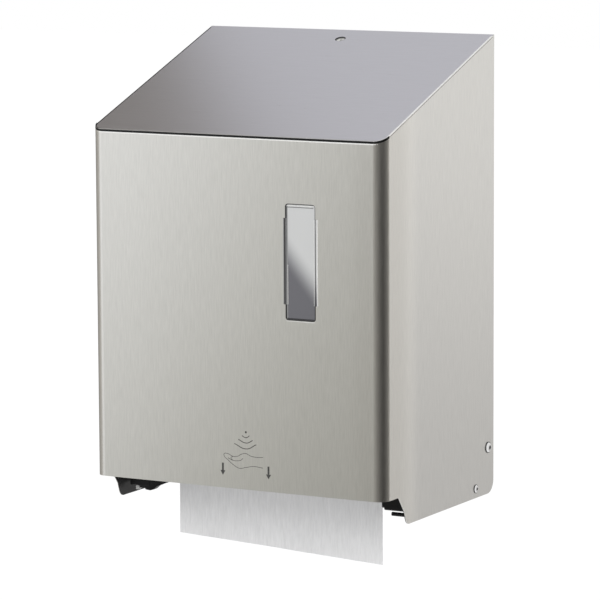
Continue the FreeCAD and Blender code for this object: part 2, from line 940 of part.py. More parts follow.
# Serrated tear bar, clipped over the beam's rear wall, its teeth downwards
def tear_bar():
    half = half_roll + 2
    count = int(2 * half / tooth_pitch)
    pitch = 2 * half / count
    low = beam_bottom - tear_drop - tooth_depth
    sheet = tear_y - beam_y - 2 * seat
    rear = (tear_y + beam_y) / 2
    front = beam_y - beam_wall - sheet / 2 - seat
    over = beam_top + sheet / 2 + seat
    path = [(rear, low), (rear, over), (front, over), (front, beam_top - tear_hook)]
    bar = bent_sheet("yz", path, sheet, 0.1, -half, half)
    between = [(half, low - 1), (-half, low - 1)]
    for i in range(count):
        between.append((-half + i * pitch, low + tooth_depth))
        between.append((-half + (i + 0.5) * pitch, low))
    between.append((half, low + tooth_depth))
    return bar.cut(prism("xz", between, beam_y - 1, tear_y + 1))


# Rear side of the outlet, under the feed roller
def outlet_guide():
    front = paper_y + paper_thickness / 2 + outlet_room + outlet_sheet / 2
    shelf = feed_height - feed_radius - outlet_under
    side = cheek_in - seat
    path = [(front, outlet_low), (front, shelf), (-outlet_rear, shelf)]
    return bent_sheet("yz", path, outlet_sheet, 3.0, -side, side)


def guide_bar_y():
    return paper_y - paper_thickness / 2 - clear - guide_bar_radius


def guide_bar():
    return rod(guide_bar_radius, -cheek_out, cheek_out, guide_bar_y(), guide_bar_height)


# Paper web from the roll over the guide bar and through the nip to the hanging tail
def paper_web():
    reach = roll_radius + clear + paper_thickness / 2
    run_y = roll_y - paper_y
    run_z = roll_height - guide_bar_height
    distance = math.hypot(run_y, run_z)
    angle = math.atan2(run_z, run_y) + math.asin(reach / distance)
    length = math.sqrt(distance ** 2 - reach ** 2)
    touch = (paper_y + length * math.cos(angle), guide_bar_height + length * math.sin(angle))
    low = -max(tail_left_drop, tail_right_drop)
    path = [(paper_y, low), (paper_y, guide_bar_height), touch]
    web = bent_sheet("yz", path, paper_thickness, guide_bar_radius + clear, -half_roll, half_roll)
    below = [
        (-half_roll - 1, -tail_left_drop),
        (half_roll + 1, -tail_right_drop),
        (half_roll + 1, low - 10),
        (-half_roll - 1, low - 10),
    ]
    return web.cut(prism("xz", below, paper_y - 2, paper_y + 2))


# Sleeves in equal lengths along a roller's shaft
def sleeves(radius, shaft, y, z):
    length = (roll_width - (sleeve_count - 1) * sleeve_gap) / sleeve_count
    pieces = []
    for i in range(sleeve_count):
        start = -half_roll + i * (length + sleeve_gap)
        pieces.append(tube(radius, shaft + seat, start, start + length, y, z))
    return group(pieces)


def feed_shaft():
    return rod(feed_shaft_radius, -cheek_out - 1, gear_plane_b + gear_face + 1, feed_y, feed_height)


# Flanged square bush in a cheek, drawn for the right side
def bushes():
    half = bush_side / 2 - seat
    wide = half + bush_rim
    rim = cheek_in - bush_rim
    body = block(rim, cheek_out, feed_y - half, feed_y + half, feed_height - half, feed_height + half)
    flange = block(rim, cheek_in - seat, feed_y - wide, feed_y + wide, feed_height - wide, feed_height + wide)
    bore = rod(feed_shaft_radius + running, rim - 1, cheek_out + 1, feed_y, feed_height)
    right = body.fuse(flange).cut(bore).removeSplitter()
    return group([mirrored(right), right])


def feed_gear():
    phase = math.radians(idler_angle)
    return gear(feed_teeth, phase, feed_shaft_radius + seat, gear_plane_b, gear_plane_b + gear_face,
                feed_y, feed_height)


def compound_gear():
    small_phase = math.radians(idler_angle) + math.pi + math.pi / small_teeth
    big_phase = math.radians(motor_angle)
    bore = idler_pin_radius + running
    small = gear(small_teeth, small_phase, bore, gear_plane_b, gear_plane_a, idler_y, idler_z)
    big = gear(big_teeth, big_phase, bore, gear_plane_a, gear_plane_a + gear_face, idler_y, idler_z)
    return small.fuse(big)


def idler_pin():
    return rod(idler_pin_radius, cheek_in, gear_plane_a + gear_face + 1, idler_y, idler_z)


# Motor shaft with the pinion pressed onto it
def motor_pinion():
    phase = math.radians(motor_angle) + math.pi + math.pi / pinion_teeth
    pinion = gear(pinion_teeth, phase, motor_shaft_radius / 2, gear_plane_a, gear_plane_a + gear_face,
                  motor_y, motor_z)
    end = gear_plane_a + gear_face + 1
    return pinion.fuse(rod(motor_shaft_radius, cheek_in - motor_shaft_depth, end, motor_y, motor_z))


# Motor: can with two flats, a front boss in the cheek and two terminals
def motor():
    face = cheek_in - seat
    start = face - motor_length
    can = rod(motor_radius, start, face, motor_y, motor_z)
    half = motor_flats / 2
    can = can.common(block(start, face, motor_y - motor_radius, motor_y + motor_radius,
                           motor_z - half, motor_z + half))
    can = can.fuse(rod(motor_boss_radius, face - 1, cheek_out, motor_y, motor_z))
    for y in (motor_y - 8, motor_y + 8):
        can = can.fuse(block(start - 4, start + 1, y - 1.5, y + 1.5, motor_z - 0.4, motor_z + 0.4))
    shaft_end = cheek_in - motor_shaft_depth - 1
    bore = rod(motor_shaft_radius + running, shaft_end, cheek_out + 1, motor_y, motor_z)
    return can.cut(bore).removeSplitter()


# Pinch frame: two arms on the pivot rod, joined by a bar in front of the roller
def arm_side():
    return half_roll + frame_arm_room


def pinch_arms():
    points = [
        (frame_pivot_y - frame_eye, frame_pivot_z + frame_eye),
        (frame_pivot_y - frame_eye, feed_height + frame_waist),
        (pinch_y - frame_nose, feed_height - frame_eye),
        (pinch_y + frame_nose, feed_height - frame_eye),
        (pinch_y + frame_nose, feed_height + frame_eye),
        (frame_pivot_y + frame_eye, frame_pivot_z + frame_eye),
    ]
    start = arm_side()
    arm = prism("yz", points, start, start + frame_arm, [frame_eye, 0, 4.5, 4.5, 0, frame_eye])
    end = start + frame_arm
    arm = arm.cut(rod(frame_pivot_radius + seat, start - 1, end + 1, frame_pivot_y, frame_pivot_z))
    arm = arm.cut(rod(pinch_shaft_radius + running, start - 1, end + 1, pinch_y, feed_height))
    return group([mirrored(arm), arm])


def pinch_bar():
    side = arm_side() - seat
    y = frame_pivot_y - 4
    top = frame_pivot_z - frame_eye
    path = [(y + 5, top), (y, top), (y, feed_height + frame_eye)]
    return bent_sheet("yz", path, frame_bar, 1.0, -side, side)


# Release lever: pivot rod through the frame, a thin arm outside the cover, its handle rod below
def release_lever():
    x0 = cover_out + (lever_room - lever_plate) / 2
    x1 = x0 + lever_plate
    low = frame_pivot_z - lever_drop
    y = frame_pivot_y - 2
    points = [
        (frame_pivot_y + lever_eye, frame_pivot_z + lever_eye),
        (frame_pivot_y - lever_eye, frame_pivot_z + lever_eye),
        (y - lever_tip, low - lever_tip),
        (y + lever_tip, low - lever_tip),
    ]
    arm = prism("yz", points, x0, x1, [4.8, 4.8, 3, 3])
    pivot = rod(frame_pivot_radius, -cheek_out, x1, frame_pivot_y, frame_pivot_z)
    handle = rod(lever_rod_radius, x1 - lever_rod_length, x1, y, low)
    return arm.fuse([pivot, handle]).removeSplitter()


# Torsion springs on the pinch frame's pivot rod
def pinch_springs():
    one = spring_sleeve(frame_pivot_radius, pinch_wire, pinch_spring_length)
    right = placed(one, Vector(half_roll - 6, frame_pivot_y, frame_pivot_z), Vector(1, 0, 0))
    return group([mirrored(right), right])


def pinch_shaft():
    side = arm_side() + frame_arm + 1.5
    return rod(pinch_shaft_radius, -side, side, pinch_y, feed_height)


# Roll arm bent from sheet: foot on the back plate, plate forward to the hub
def arm_plate(x0, start_y):
    tip = roll_y - arm_tip_room
    low = roll_height - arm_height / 2
    high = roll_height + arm_height / 2
    points = [(start_y, low), (tip, low), (tip, high), (start_y, high)]
    return prism("yz", points, x0, x0 + arm_sheet, [0, arm_tip_corner, arm_tip_corner, 0])


def arm_x():
    return half_roll + clear + hub_flange + clear


def left_roll_arm():
    x0 = arm_x()
    rear = -plate_sheet - seat
    plate = arm_plate(x0, rear)
    low = roll_height - arm_height / 2
    high = roll_height + arm_height / 2
    foot = block(x0 - arm_foot, x0 + arm_sheet, rear - arm_sheet, rear, low, high)
    pin = rod(hub_pin_radius, x0 - hub_flange - hub_nose + 1, x0, roll_y, roll_height)
    return mirrored(plate.fuse([foot, pin]).removeSplitter())


# Bracket with two lugs that the right arm turns on
def arm_bracket():
    x = arm_x() + arm_sheet / 2
    face = -plate_sheet - seat
    low = roll_height - arm_height / 2
    high = roll_height + arm_height / 2
    base = block(x - arm_foot, x + arm_knuckle, face - arm_sheet, face, low - arm_lug, high + arm_lug)
    tip = -arm_pivot_depth - arm_knuckle
    for z in (low - arm_lug - clear, high + clear):
        lug = [
            (x - arm_knuckle, face),
            (x - arm_knuckle, tip + arm_lug_bevel),
            (x - arm_knuckle + arm_lug_bevel, tip),
            (x + arm_knuckle - arm_lug_bevel, tip),
            (x + arm_knuckle, tip + arm_lug_bevel),
            (x + arm_knuckle, face),
        ]
        base = base.fuse(prism("xy", lug, z, z + arm_lug))
    foot = Vector(x, -arm_pivot_depth, low - arm_height / 2)
    bore = Part.makeCylinder(arm_pivot_radius + seat, 2 * arm_height, foot)
    return base.cut(bore).removeSplitter()


def arm_pin():
    x = arm_x() + arm_sheet / 2
    low = roll_height - arm_height / 2 - arm_lug - 1.5
    return Part.makeCylinder(arm_pivot_radius, arm_height + 2 * arm_lug + 3, Vector(x, -arm_pivot_depth, low))


# Right arm: one knuckle above its spring, the hub's pin and a finger grip at the tip
def right_roll_arm():
    x0 = arm_x()
    x = x0 + arm_sheet / 2
    plate = arm_plate(x0, -arm_pivot_depth)
    low = roll_height - arm_height / 2
    high = roll_height + arm_height / 2
    behind = -arm_pivot_depth - arm_knuckle - 4
    room = block(x0 - 1, x0 + arm_sheet + 1, behind, 0, low - 1, roll_height)
    knuckle_foot = Vector(x, -arm_pivot_depth, roll_height)
    knuckle = Part.makeCylinder(arm_knuckle - 0.5, high - roll_height, knuckle_foot)
    bore = Part.makeCylinder(arm_pivot_radius + running, arm_height, Vector(x, -arm_pivot_depth, low))
    pin = rod(hub_pin_radius, x0 - hub_flange - hub_nose + 1, x0 + arm_sheet, roll_y, roll_height)
    tip = roll_y - arm_tip_room
    half = arm_grip_half
    grip = block(x0, x0 + arm_grip, tip, tip + arm_sheet, roll_height - half, roll_height + half)
    arm = plate.cut(room).fuse([knuckle, grip, pin])
    return arm.cut(bore).removeSplitter()


def arm_spring():
    x = arm_x() + arm_sheet / 2
    low = roll_height - arm_height / 2
    one = spring_sleeve(arm_pivot_radius, arm_wire, arm_height / 2 - 1)
    return placed(one, Vector(x, -arm_pivot_depth, low + 0.5), Vector(0, 0, 1))


# Hub: flange beside the roll and four tapered fins in the core's bore
def hub():
    x0 = half_roll + clear
    bore = hub_pin_radius + running
    flange = rod(hub_flange_radius, x0, x0 + hub_flange, roll_y, roll_height)
    base = core_bore - hub_core_gap
    tip = base - hub_taper
    fins = []
    for plane, centre, across in (("xy", roll_y, roll_height), ("xz", roll_height, roll_y)):
        points = [
            (x0 - hub_nose, centre - tip),
            (x0, centre - base),
            (x0 + 1, centre - base),
            (x0 + 1, centre + base),
            (x0, centre + base),
            (x0 - hub_nose, centre + tip),
        ]
        fins.append(prism(plane, points, across - hub_fin / 2, across + hub_fin / 2))
    pin = rod(bore, x0 - hub_nose - 1, x0 + hub_flange + 1, roll_y, roll_height)
    return flange.fuse(fins).cut(pin).removeSplitter()


def paper_roll():
    return tube(roll_radius, core_bore + core_wall + seat, -half_roll, half_roll, roll_y, roll_height)


def roll_core():
    return tube(core_bore + core_wall, core_bore, -half_roll, half_roll, roll_y, roll_height)


# Battery box of four cells, open to the front, its lid in grooves
def battery_box():
    rear = wall_face - 2 * seat
    front = rear - box_wall - 2 * cell_radius - cell_gap
    room = lid_gap
    body = block(box_left, box_right, front, rear, box_bottom, box_top)
    hollow = block(box_left + box_wall, box_right - box_wall, front - 1, rear - box_wall,
                   box_bottom + box_wall, box_top - box_wall)
    body = body.cut(hollow)
    for x0 in (box_left, box_right - lid_rail):
        rail = block(x0, x0 + lid_rail, front - lid_sheet - 2 * lid_edge, front, box_bottom, box_top)
        body = body.fuse(rail)
    side = lid_rail / 2
    groove = block(box_left + side, box_right - side, front - lid_sheet - 3 * room, front - room,
                   box_bottom - 1, box_top - box_wall)
    return body.cut(groove).removeSplitter()


def battery_lid():
    rear = wall_face - 2 * seat
    front = rear - box_wall - 2 * cell_radius - cell_gap
    side = lid_rail / 2 + lid_gap
    face = front - 2 * lid_gap - lid_sheet
    top = box_top - box_wall - clear
    lid = block(box_left + side, box_right - side, face, face + lid_sheet, box_bottom, top)
    for i in range(lid_ribs):
        z = box_bottom + lid_rib_rise + lid_rib_pitch * i
        left = box_left + lid_rib_inset
        right = box_right - lid_rib_inset
        rib = block(left, right, face - lid_rib, face, z, z + lid_rib_pitch / 2)
        lid = lid.fuse(rib)
    return lid


# Cells, two by two
def battery_cells():
    rear = wall_face - 2 * seat - box_wall
    cells = []
    for column in range(2):
        x0 = box_left + box_wall + contact_room + column * (cell_length + cell_gap)
        for row in range(2):
            z = box_bottom + box_wall + cell_gap + cell_radius + row * (2 * cell_radius + cell_gap)
            cells.append(rod(cell_radius, x0, x0 + cell_length, rear - cell_radius - cell_gap / 2, z))
    return group(cells)


# Contact plates at both ends of the battery box, each with a bent leaf
def battery_contacts():
    rear = wall_face - 2 * seat - box_wall
    half = contact_side / 2
    pieces = []
    for x, sign in ((box_left + box_wall, 1), (box_right - box_wall, -1)):
        for row in range(2):
            z = box_bottom + box_wall + cell_gap + cell_radius + row * (2 * cell_radius + cell_gap)
            y = rear - cell_radius - cell_gap / 2
            near, far = sorted((x, x + sign * contact_sheet))
            plate = block(near, far, y - half, y + half, z - half, z + half)
            leaf = [
                (x + sign * contact_sheet, y - half / 2),
                (x + sign * (contact_room - clear), y),
                (x + sign * contact_sheet, y + half / 2),
            ]
            pieces.append(plate.fuse(prism("xy", leaf, z - half / 2, z + half / 2)))
    return group(pieces)


def control_board():
    rear, front = board_faces()
    return block(board_left, board_right, front, rear, board_bottom, board_bottom + board_height)


def board_components():
    face = board_faces()[1] - seat
    left = board_right - chip_right - chip_side
    low = board_bottom + (board_height - chip_side) / 2
    chip = block(left, left + chip_side, face - chip_height, face, low, low + chip_side)
    x = board_left + plug_left
    z = board_bottom + plug_rise
    plug = block(x, x + plug_length, face - plug_height, face, z, z + plug_width)
    x = board_right - relay_right
    z = board_bottom + board_height - relay_drop
    relay = block(x - relay_length, x, face - relay_height, face, z - relay_width, z)
    foot = Vector(board_left + sounder_left, face, board_bottom + board_height - sounder_drop)
    sounder = Part.makeCylinder(sounder_radius, sounder_height, foot, Vector(0, -1, 0))
    return group([chip, plug, relay, sounder])


# Hand sensor in front of the beam, looking down
def sensor_housing():
    left = sensor_centre - sensor_width / 2
    right = sensor_centre + sensor_width / 2
    rear = chassis_y - seat
    front = rear - sensor_depth
    top = sensor_low + sensor_height
    points = [(rear, sensor_low), (front, sensor_low + 4), (front, top), (rear, top)]
    shell = prism("yz", points, left, right, [0, 3, 4, 0])
    pocket = block(left + sensor_border, right - sensor_border, rear - sensor_pocket_front,
                   rear - sensor_pocket_rear, 0, top - 7)
    return shell.cut(pocket)


def sensor_lens():
    left = sensor_centre - sensor_width / 2 + sensor_border + seat
    right = sensor_centre + sensor_width / 2 - sensor_border - seat
    rear = chassis_y - 2 * seat - sensor_pocket_rear
    front = chassis_y - sensor_pocket_front
    low = sensor_low + 0.5
    high = sensor_low + 5.5
    points = [(rear, low), (front, low + 2), (front, high), (rear, high)]
    return prism("yz", points, left, right)


def control_x():
    return (cheek_out + cover_out) / 2


def status_lamp():
    start = Vector(control_x(), chassis_y + 3, lamp_height)
    return Part.makeCylinder(lamp_radius, 5.5, start, Vector(0, -1, 0))


# Rocker of the power switch, turning about X on its barrel
def power_switch():
    x0 = control_x() - rocker_width / 2
    x1 = control_x() + rocker_width / 2
    face = chassis_y - cover_overhang
    rear = face + 5.5
    middle = rocker_height
    points = [
        (rear, middle - 6.5),
        (face - 1.0, middle - rocker_half),
        (face - 0.2, middle),
        (face - 2.4, middle + rocker_half),
        (rear, middle + 6.5),
    ]
    rocker = prism("yz", points, x0, x1)
    return rocker.fuse(rod(rocker_pivot, x0, x1, face + 4, middle))


def length_switch():
    x = control_x()
    face = chassis_y - cover_overhang
    half = slider_knob / 2
    low = slider_height - half
    high = slider_height + half
    knob = block(x - half + clear, x + half - clear, face - 2.5, face + 3, low, high)
    behind = face + cover_wall + 0.1
    return knob.fuse(block(x - 4, x + 4, behind, behind + 1.5, low - 2, high + 2))


def chassis_screw_places():
    places = []
    side = cheek_in - chassis_screw_inset
    for x in (-side, side):
        for z in (chassis_screw_low, rear_wall_top - chassis_screw_drop):
            places.append(Vector(x, wall_face - 2 * seat, z))
    return places


def chassis_screws():
    one = screw(hexagon(screw_flats, screw_head), chassis_shank, rear_wall)
    return group([placed(one, place, Vector(0, -1, 0)) for place in chassis_screw_places()])


# Write one sub-part, moved from the front panel's lower edge to the wall mount
def save(node, shape):
    moved = shape.copy()
    moved.translate(Vector(0, 0, -mount_height))
    moved.exportStep("parts/" + node + ".step")
    print(node, len(moved.Solids), round(moved.Volume / 1000, 2), moved.isValid())


os.makedirs("parts", exist_ok=True)

lock_body, lock_plug, lock_cam = lock_pieces()
pieces = {
    "front_cover": front_cover(),
    "slanted_top": slanted_top(),
    "level_window": level_window(),
    "hood_stop_screws": stop_screws(),
    "lock_body": lock_body,
    "lock_plug": lock_plug,
    "lock_cam": lock_cam,
    "back_plate": back_plate(),
    "hood_pivot_screws": pivot_screws(),
    "pivot_nuts": pivot_nuts(),
    "lock_strike": lock_strike(),
    "chassis_rear_wall": chassis_rear_wall(),
    "chassis_left_cheek": mirrored(cheek(False)),
    "chassis_right_cheek": cheek(True),
    "gear_cover": gear_cover(),
    "left_end_cover": button_cover(),
    "roll_cradle": roll_cradle(),
    "front_beam": front_beam(),
    "tear_bar": tear_bar(),
    "outlet_guide": outlet_guide(),
    "guide_bar": guide_bar(),
    "paper_web": paper_web(),
    "feed_shaft": feed_shaft(),
    "feed_sleeves": sleeves(feed_radius, feed_shaft_radius, feed_y, feed_height),
    "feed_bushes": bushes(),
    "feed_gear": feed_gear(),
    "compound_gear": compound_gear(),
    "idler_pin": idler_pin(),
    "motor_pinion": motor_pinion(),
    "motor": motor(),
    "chassis_screws": chassis_screws(),
    "pinch_arms": pinch_arms(),
    "pinch_bar": pinch_bar(),
    "pinch_springs": pinch_springs(),
    "pinch_shaft": pinch_shaft(),
    "pinch_sleeves": sleeves(pinch_radius, pinch_shaft_radius, pinch_y, feed_height),
    "release_lever": release_lever(),
    "left_roll_arm": left_roll_arm(),
    "arm_bracket": arm_bracket(),
    "arm_pin": arm_pin(),
    "arm_spring": arm_spring(),
    "right_roll_arm": right_roll_arm(),
    "left_hub": mirrored(hub()),
    "right_hub": hub(),
    "paper_roll": paper_roll(),
    "roll_core": roll_core(),
    "battery_box": battery_box(),
    "battery_lid": battery_lid(),
    "battery_cells": battery_cells(),
    "battery_contacts": battery_contacts(),
    "control_board": control_board(),
    "board_components": board_components(),
    "sensor_housing": sensor_housing(),
    "sensor_lens": sensor_lens(),
    "status_lamp": status_lamp(),
    "power_switch": power_switch(),
    "length_switch": length_switch(),
    "feed_button": feed_button(),
}
for node, shape in pieces.items():
    save(node, shape)
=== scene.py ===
import bpy
import math
from mathutils import Matrix, Vector


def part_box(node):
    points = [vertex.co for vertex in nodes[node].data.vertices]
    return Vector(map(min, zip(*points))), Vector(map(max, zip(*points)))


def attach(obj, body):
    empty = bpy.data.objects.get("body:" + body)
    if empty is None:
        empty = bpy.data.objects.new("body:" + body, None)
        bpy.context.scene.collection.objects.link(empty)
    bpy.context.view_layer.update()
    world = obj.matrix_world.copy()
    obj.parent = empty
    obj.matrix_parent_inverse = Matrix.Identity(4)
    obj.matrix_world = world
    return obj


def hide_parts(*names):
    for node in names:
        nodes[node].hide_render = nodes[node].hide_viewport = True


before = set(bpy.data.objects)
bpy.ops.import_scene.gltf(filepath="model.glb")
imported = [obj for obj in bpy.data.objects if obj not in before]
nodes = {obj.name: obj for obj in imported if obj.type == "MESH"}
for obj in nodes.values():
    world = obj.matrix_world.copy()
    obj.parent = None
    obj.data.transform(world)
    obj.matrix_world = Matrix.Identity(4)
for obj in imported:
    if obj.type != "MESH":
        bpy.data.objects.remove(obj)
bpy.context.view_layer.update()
print("frame loaded:", len(nodes), "nodes")
bpy.context.scene.view_settings.view_transform = "Standard"

mm = 0.001
hoodLow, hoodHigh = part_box("front_cover")
frontY = hoodLow.y
panelLow = -0.250  # the front panel's lower edge, from which heights on the hood are measured


def pickNone():
    for thing in list(bpy.context.selected_objects):
        thing.select_set(False)
    bpy.context.view_layer.objects.active = None


def pick(*things):
    pickNone()
    for thing in things:
        thing.select_set(True)
    bpy.context.view_layer.objects.active = things[0]


pickNone()


# Camera, where the photographer stood
viewpoint = {
    "azimuth": 28.762,
    "elevation": 7.914,
    "roll": -0.299,
    "aim": (0.0, -0.110, -0.060),
    "sideways": 0.00512,
    "upwards": -0.03403,
    "distance": 3.4015,
    "lens": 225.41,
    "sensor": 36.0,
    "reach": 60.0,
}


def placeCamera(v):
    azimuth = math.radians(v["azimuth"])
    elevation = math.radians(v["elevation"])
    roll = math.radians(v["roll"])
    flat = math.cos(elevation)
    back = Vector((math.sin(azimuth) * flat, -math.cos(azimuth) * flat, math.sin(elevation)))
    level = Vector((math.cos(azimuth), math.sin(azimuth), 0.0))
    steep = back.cross(level)
    right = math.cos(roll) * level + math.sin(roll) * steep
    up = math.cos(roll) * steep - math.sin(roll) * level
    place = Vector(v["aim"]) + right * v["sideways"] + up * v["upwards"] + back * v["distance"]
    bpy.ops.object.camera_add(location=place)
    camera = bpy.context.object
    camera.name = "photoCamera"
    camera.matrix_world = Matrix.Translation(place) @ Matrix((right, up, back)).transposed().to_4x4()
    camera.data.lens = v["lens"]
    camera.data.sensor_width = v["sensor"]
    camera.data.clip_end = v["reach"]
    bpy.context.scene.camera = camera
    pickNone()


placeCamera(viewpoint)
print("camera placed")


# Places a node: each input takes a plain value or another node's output
def addNode(tree, kind, inputs=None, **settings):
    node = tree.nodes.new("ShaderNode" + kind)
    for setting, value in settings.items():
        setattr(node, setting, value)
    for socket, value in (inputs or {}).items():
        if isinstance(value, bpy.types.NodeSocket):
            tree.links.new(value, node.inputs[socket])
        else:
            node.inputs[socket].default_value = value
    return node


def addMath(tree, operation, first, second):
    return addNode(tree, "Math", {0: first, 1: second}, operation=operation).outputs[0]


def addVector(tree, operation, *values):
    made = addNode(tree, "VectorMath", dict(enumerate(values)), operation=operation)
    return made.outputs["Value" if operation in ("DOT_PRODUCT", "LENGTH") else "Vector"]


def ownPlace(tree):
    return addNode(tree, "TexCoord").outputs["Object"]


def mixColours(tree, share, first, second):
    mix = addNode(tree, "Mix", {"Factor": share, "A": first, "B": second}, data_type="RGBA")
    return mix.outputs["Result"]


def softStep(tree, source, low, high):
    edges = {"Value": source, "From Min": low, "From Max": high}
    return addNode(tree, "MapRange", edges, interpolation_type="SMOOTHSTEP").outputs["Result"]


def linkTones(tree, source, target, low, high):
    tree.links.new(mixColours(tree, source, (*low, 1.0), (*high, 1.0)), target)


def linkRange(tree, source, target, low, high):
    spread = addNode(tree, "MapRange", {"Value": source, "To Min": low, "To Max": high})
    tree.links.new(spread.outputs["Result"], target)


def linkBump(tree, source, shader, strength, distance):
    bump = addNode(tree, "Bump", {"Height": source, "Strength": strength, "Distance": distance})
    tree.links.new(bump.outputs["Normal"], shader.inputs["Normal"])


def linkSurface(tree, shader):
    tree.links.new(shader.outputs[0], tree.nodes["Material Output"].inputs["Surface"])


def newFinish(name, settings):
    finish = bpy.data.materials.new(name)
    finish.use_nodes = True
    tree = finish.node_tree
    shader = tree.nodes["Principled BSDF"]
    for socket, value in settings.items():
        shader.inputs[socket].default_value = value
    return finish, tree, shader


# Studio: white background, soft lamps, and cards and flags that only the gloss sees
studio = {
    "ambient": 0.80,
    "floorHeight": -1.05,
    "floorSize": 30.0,
    "floorTone": 0.93,
    "floorRough": 0.9,
    "floorGlow": 0.85,  # how much of the floor's white is its own
    "floorWhite": 1.08,
}


def seenDirectly(tree):
    ray = addNode(tree, "LightPath").outputs
    seen = addMath(tree, "MAXIMUM", ray["Is Camera Ray"], ray["Is Glossy Ray"])
    return addMath(tree, "MAXIMUM", seen, ray["Is Transmission Ray"])


def buildWorld(s):
    world = bpy.data.worlds.new("studioWorld")
    bpy.context.scene.world = world
    world.use_nodes = True
    tree = world.node_tree
    background = tree.nodes["Background"]
    background.inputs["Color"].default_value = (1.0, 1.0, 1.0, 1.0)
    linkRange(tree, seenDirectly(tree), background.inputs["Strength"], s["ambient"], 1.0)


def buildFloor(s):
    bpy.ops.mesh.primitive_plane_add(size=s["floorSize"], location=(0, 0, s["floorHeight"]))
    floor = bpy.context.object
    floor.name = "paleFloor"
    tone = s["floorTone"]
    plain = {"Base Color": (tone, tone, tone, 1.0), "Roughness": s["floorRough"]}
    paint, tree, shader = newFinish("floorPaint", plain)
    glow = addNode(tree, "Emission", {"Strength": s["floorWhite"]})
    share = addMath(tree, "MULTIPLY", seenDirectly(tree), s["floorGlow"])
    linkSurface(tree, addNode(tree, "MixShader", {0: share, 1: shader.outputs[0], 2: glow.outputs[0]}))
    floor.data.materials.append(paint)


# Each card: centre, the point that it faces, size, the way its tones run, and the tones
cards = {
    "topCard": {
        "centre": (-0.30, 0.25, 0.56),
        "faces": (0.0, -0.11, 0.10),
        "size": (1.5, 1.1),
        "runs": (-1.0, 0.0),
        "tones": [(0.0, (0.24, 0.225, 0.205)), (0.425, (0.30, 0.285, 0.275)), (0.48, (0.70, 0.71, 0.765)),
                  (1.0, (0.73, 0.75, 0.805))],
    },
    "frontCard": {
        "centre": (-0.44, -0.94, -0.13),
        "faces": (-0.01, -0.218, -0.03),
        "size": (1.1, 1.0),
        "runs": (0.88, -0.48),
        "tones": [(0.0, (1.29, 1.31, 1.31)), (0.32, (1.20, 1.21, 1.22)), (0.66, (0.54, 0.535, 0.49)),
                  (1.0, (0.36, 0.35, 0.32))],
    },
    "sideCard": {
        "centre": (0.60, 0.70, -0.13),
        "faces": (0.1475, -0.11, -0.01),
        "size": (0.9, 1.1),
        "runs": (0.0, -1.0),
        "tones": [(0.0, (1.06, 1.05, 1.03)), (0.40, (0.98, 0.97, 0.955)), (0.72, (0.70, 0.69, 0.68)),
                  (1.0, (0.62, 0.61, 0.60))],
    },
    "lowCard": {
        "centre": (-0.25, -0.85, -0.72),
        "faces": (0.0, -0.22, -0.10),
        "size": (1.6, 0.5),
        "runs": (1.0, 0.0),
        "tones": [(0.0, (0.30, 0.30, 0.29)), (1.0, (0.30, 0.30, 0.29))],
    },
}


def toneRamp(tree, source, tones):
    ramp = addNode(tree, "ValToRGB", {0: source})
    stops = ramp.color_ramp.elements
    for stop, (place, tone) in zip(stops, (tones[0], tones[-1])):
        stop.position = place
        stop.color = (*tone, 1.0)
    for place, tone in tones[1:-1]:
        stops.new(place).color = (*tone, 1.0)
    return ramp.outputs[0]


def newGlow(name):
    paint, tree, shader = newFinish(name + "Glow", {})
    tree.nodes.remove(shader)
    return paint, tree


def onlyForGloss(card, paint):
    card.data.materials.append(paint)
    card.visible_camera = False
    card.visible_diffuse = False
    card.visible_shadow = False
    card.visible_volume_scatter = False


def addCard(name, c):
    bpy.ops.mesh.primitive_plane_add(size=1.0, location=c["centre"])
    card = bpy.context.object
    card.name = name
    card.scale = (*c["size"], 1.0)
    away = Vector(c["centre"]) - Vector(c["faces"])
    card.rotation_euler = away.to_track_quat("Z", "Y").to_euler()
    paint, tree = newGlow(name)
    run = addVector(tree, "DOT_PRODUCT", ownPlace(tree), (*c["runs"], 0.0))
    tones = toneRamp(tree, addMath(tree, "ADD", run, 0.5), c["tones"])
    linkSurface(tree, addNode(tree, "Emission", {"Color": tones}))
    onlyForGloss(card, paint)


# Flags stand in wide arcs around the hood's bends, with tones by compass angle. A louvre grid
# shows them only to what lies near the arc's axis: in full within the first distance of the
# grid, and not at all past the second
flagShape = {
    "radius": 0.60,
    "low": -0.80,
    "high": 0.25,
    "sides": 90,
    "grid": (0.0107, 0.026),
    "warmth": (1.04, 1.0, 0.93),
}
flags = {
    "rightFlag": {
        "centre": (0.137, -0.2075),
        "from": -19.0,
        "to": 149.0,
        "turned": 0.0,
        "tones": [(-19.0, 0.42), (1.0, 0.28), (18.0, 0.21), (37.0, 0.12), (66.0, 0.065), (85.0, 0.085),
                  (105.0, 0.16), (122.0, 0.22), (136.0, 0.25), (143.0, 0.28), (145.5, 1.80), (149.0, 1.80)],
    },
    "leftFlag": {
        "centre": (-0.137, -0.2075),
        "from": -155.0,
        "to": -55.0,
        "turned": 180.0,
        "tones": [(-155.0, 0.20), (-116.0, 0.24), (-104.0, 0.44), (-75.0, 0.50), (-55.0, 0.60)],
    },
}


# Keep the faces of an open mesh whose middle passes a test, and delete the rest
def keepFaces(made, test):
    pick(made)
    bpy.ops.object.mode_set(mode="EDIT")
    bpy.ops.mesh.select_mode(type="FACE")
    bpy.ops.mesh.select_all(action="DESELECT")
    bpy.ops.object.mode_set(mode="OBJECT")
    for face in made.data.polygons:
        face.select = not test(face.center)
    bpy.ops.object.mode_set(mode="EDIT")
    bpy.ops.mesh.delete(type="FACE")
    bpy.ops.object.mode_set(mode="OBJECT")
    pickNone()


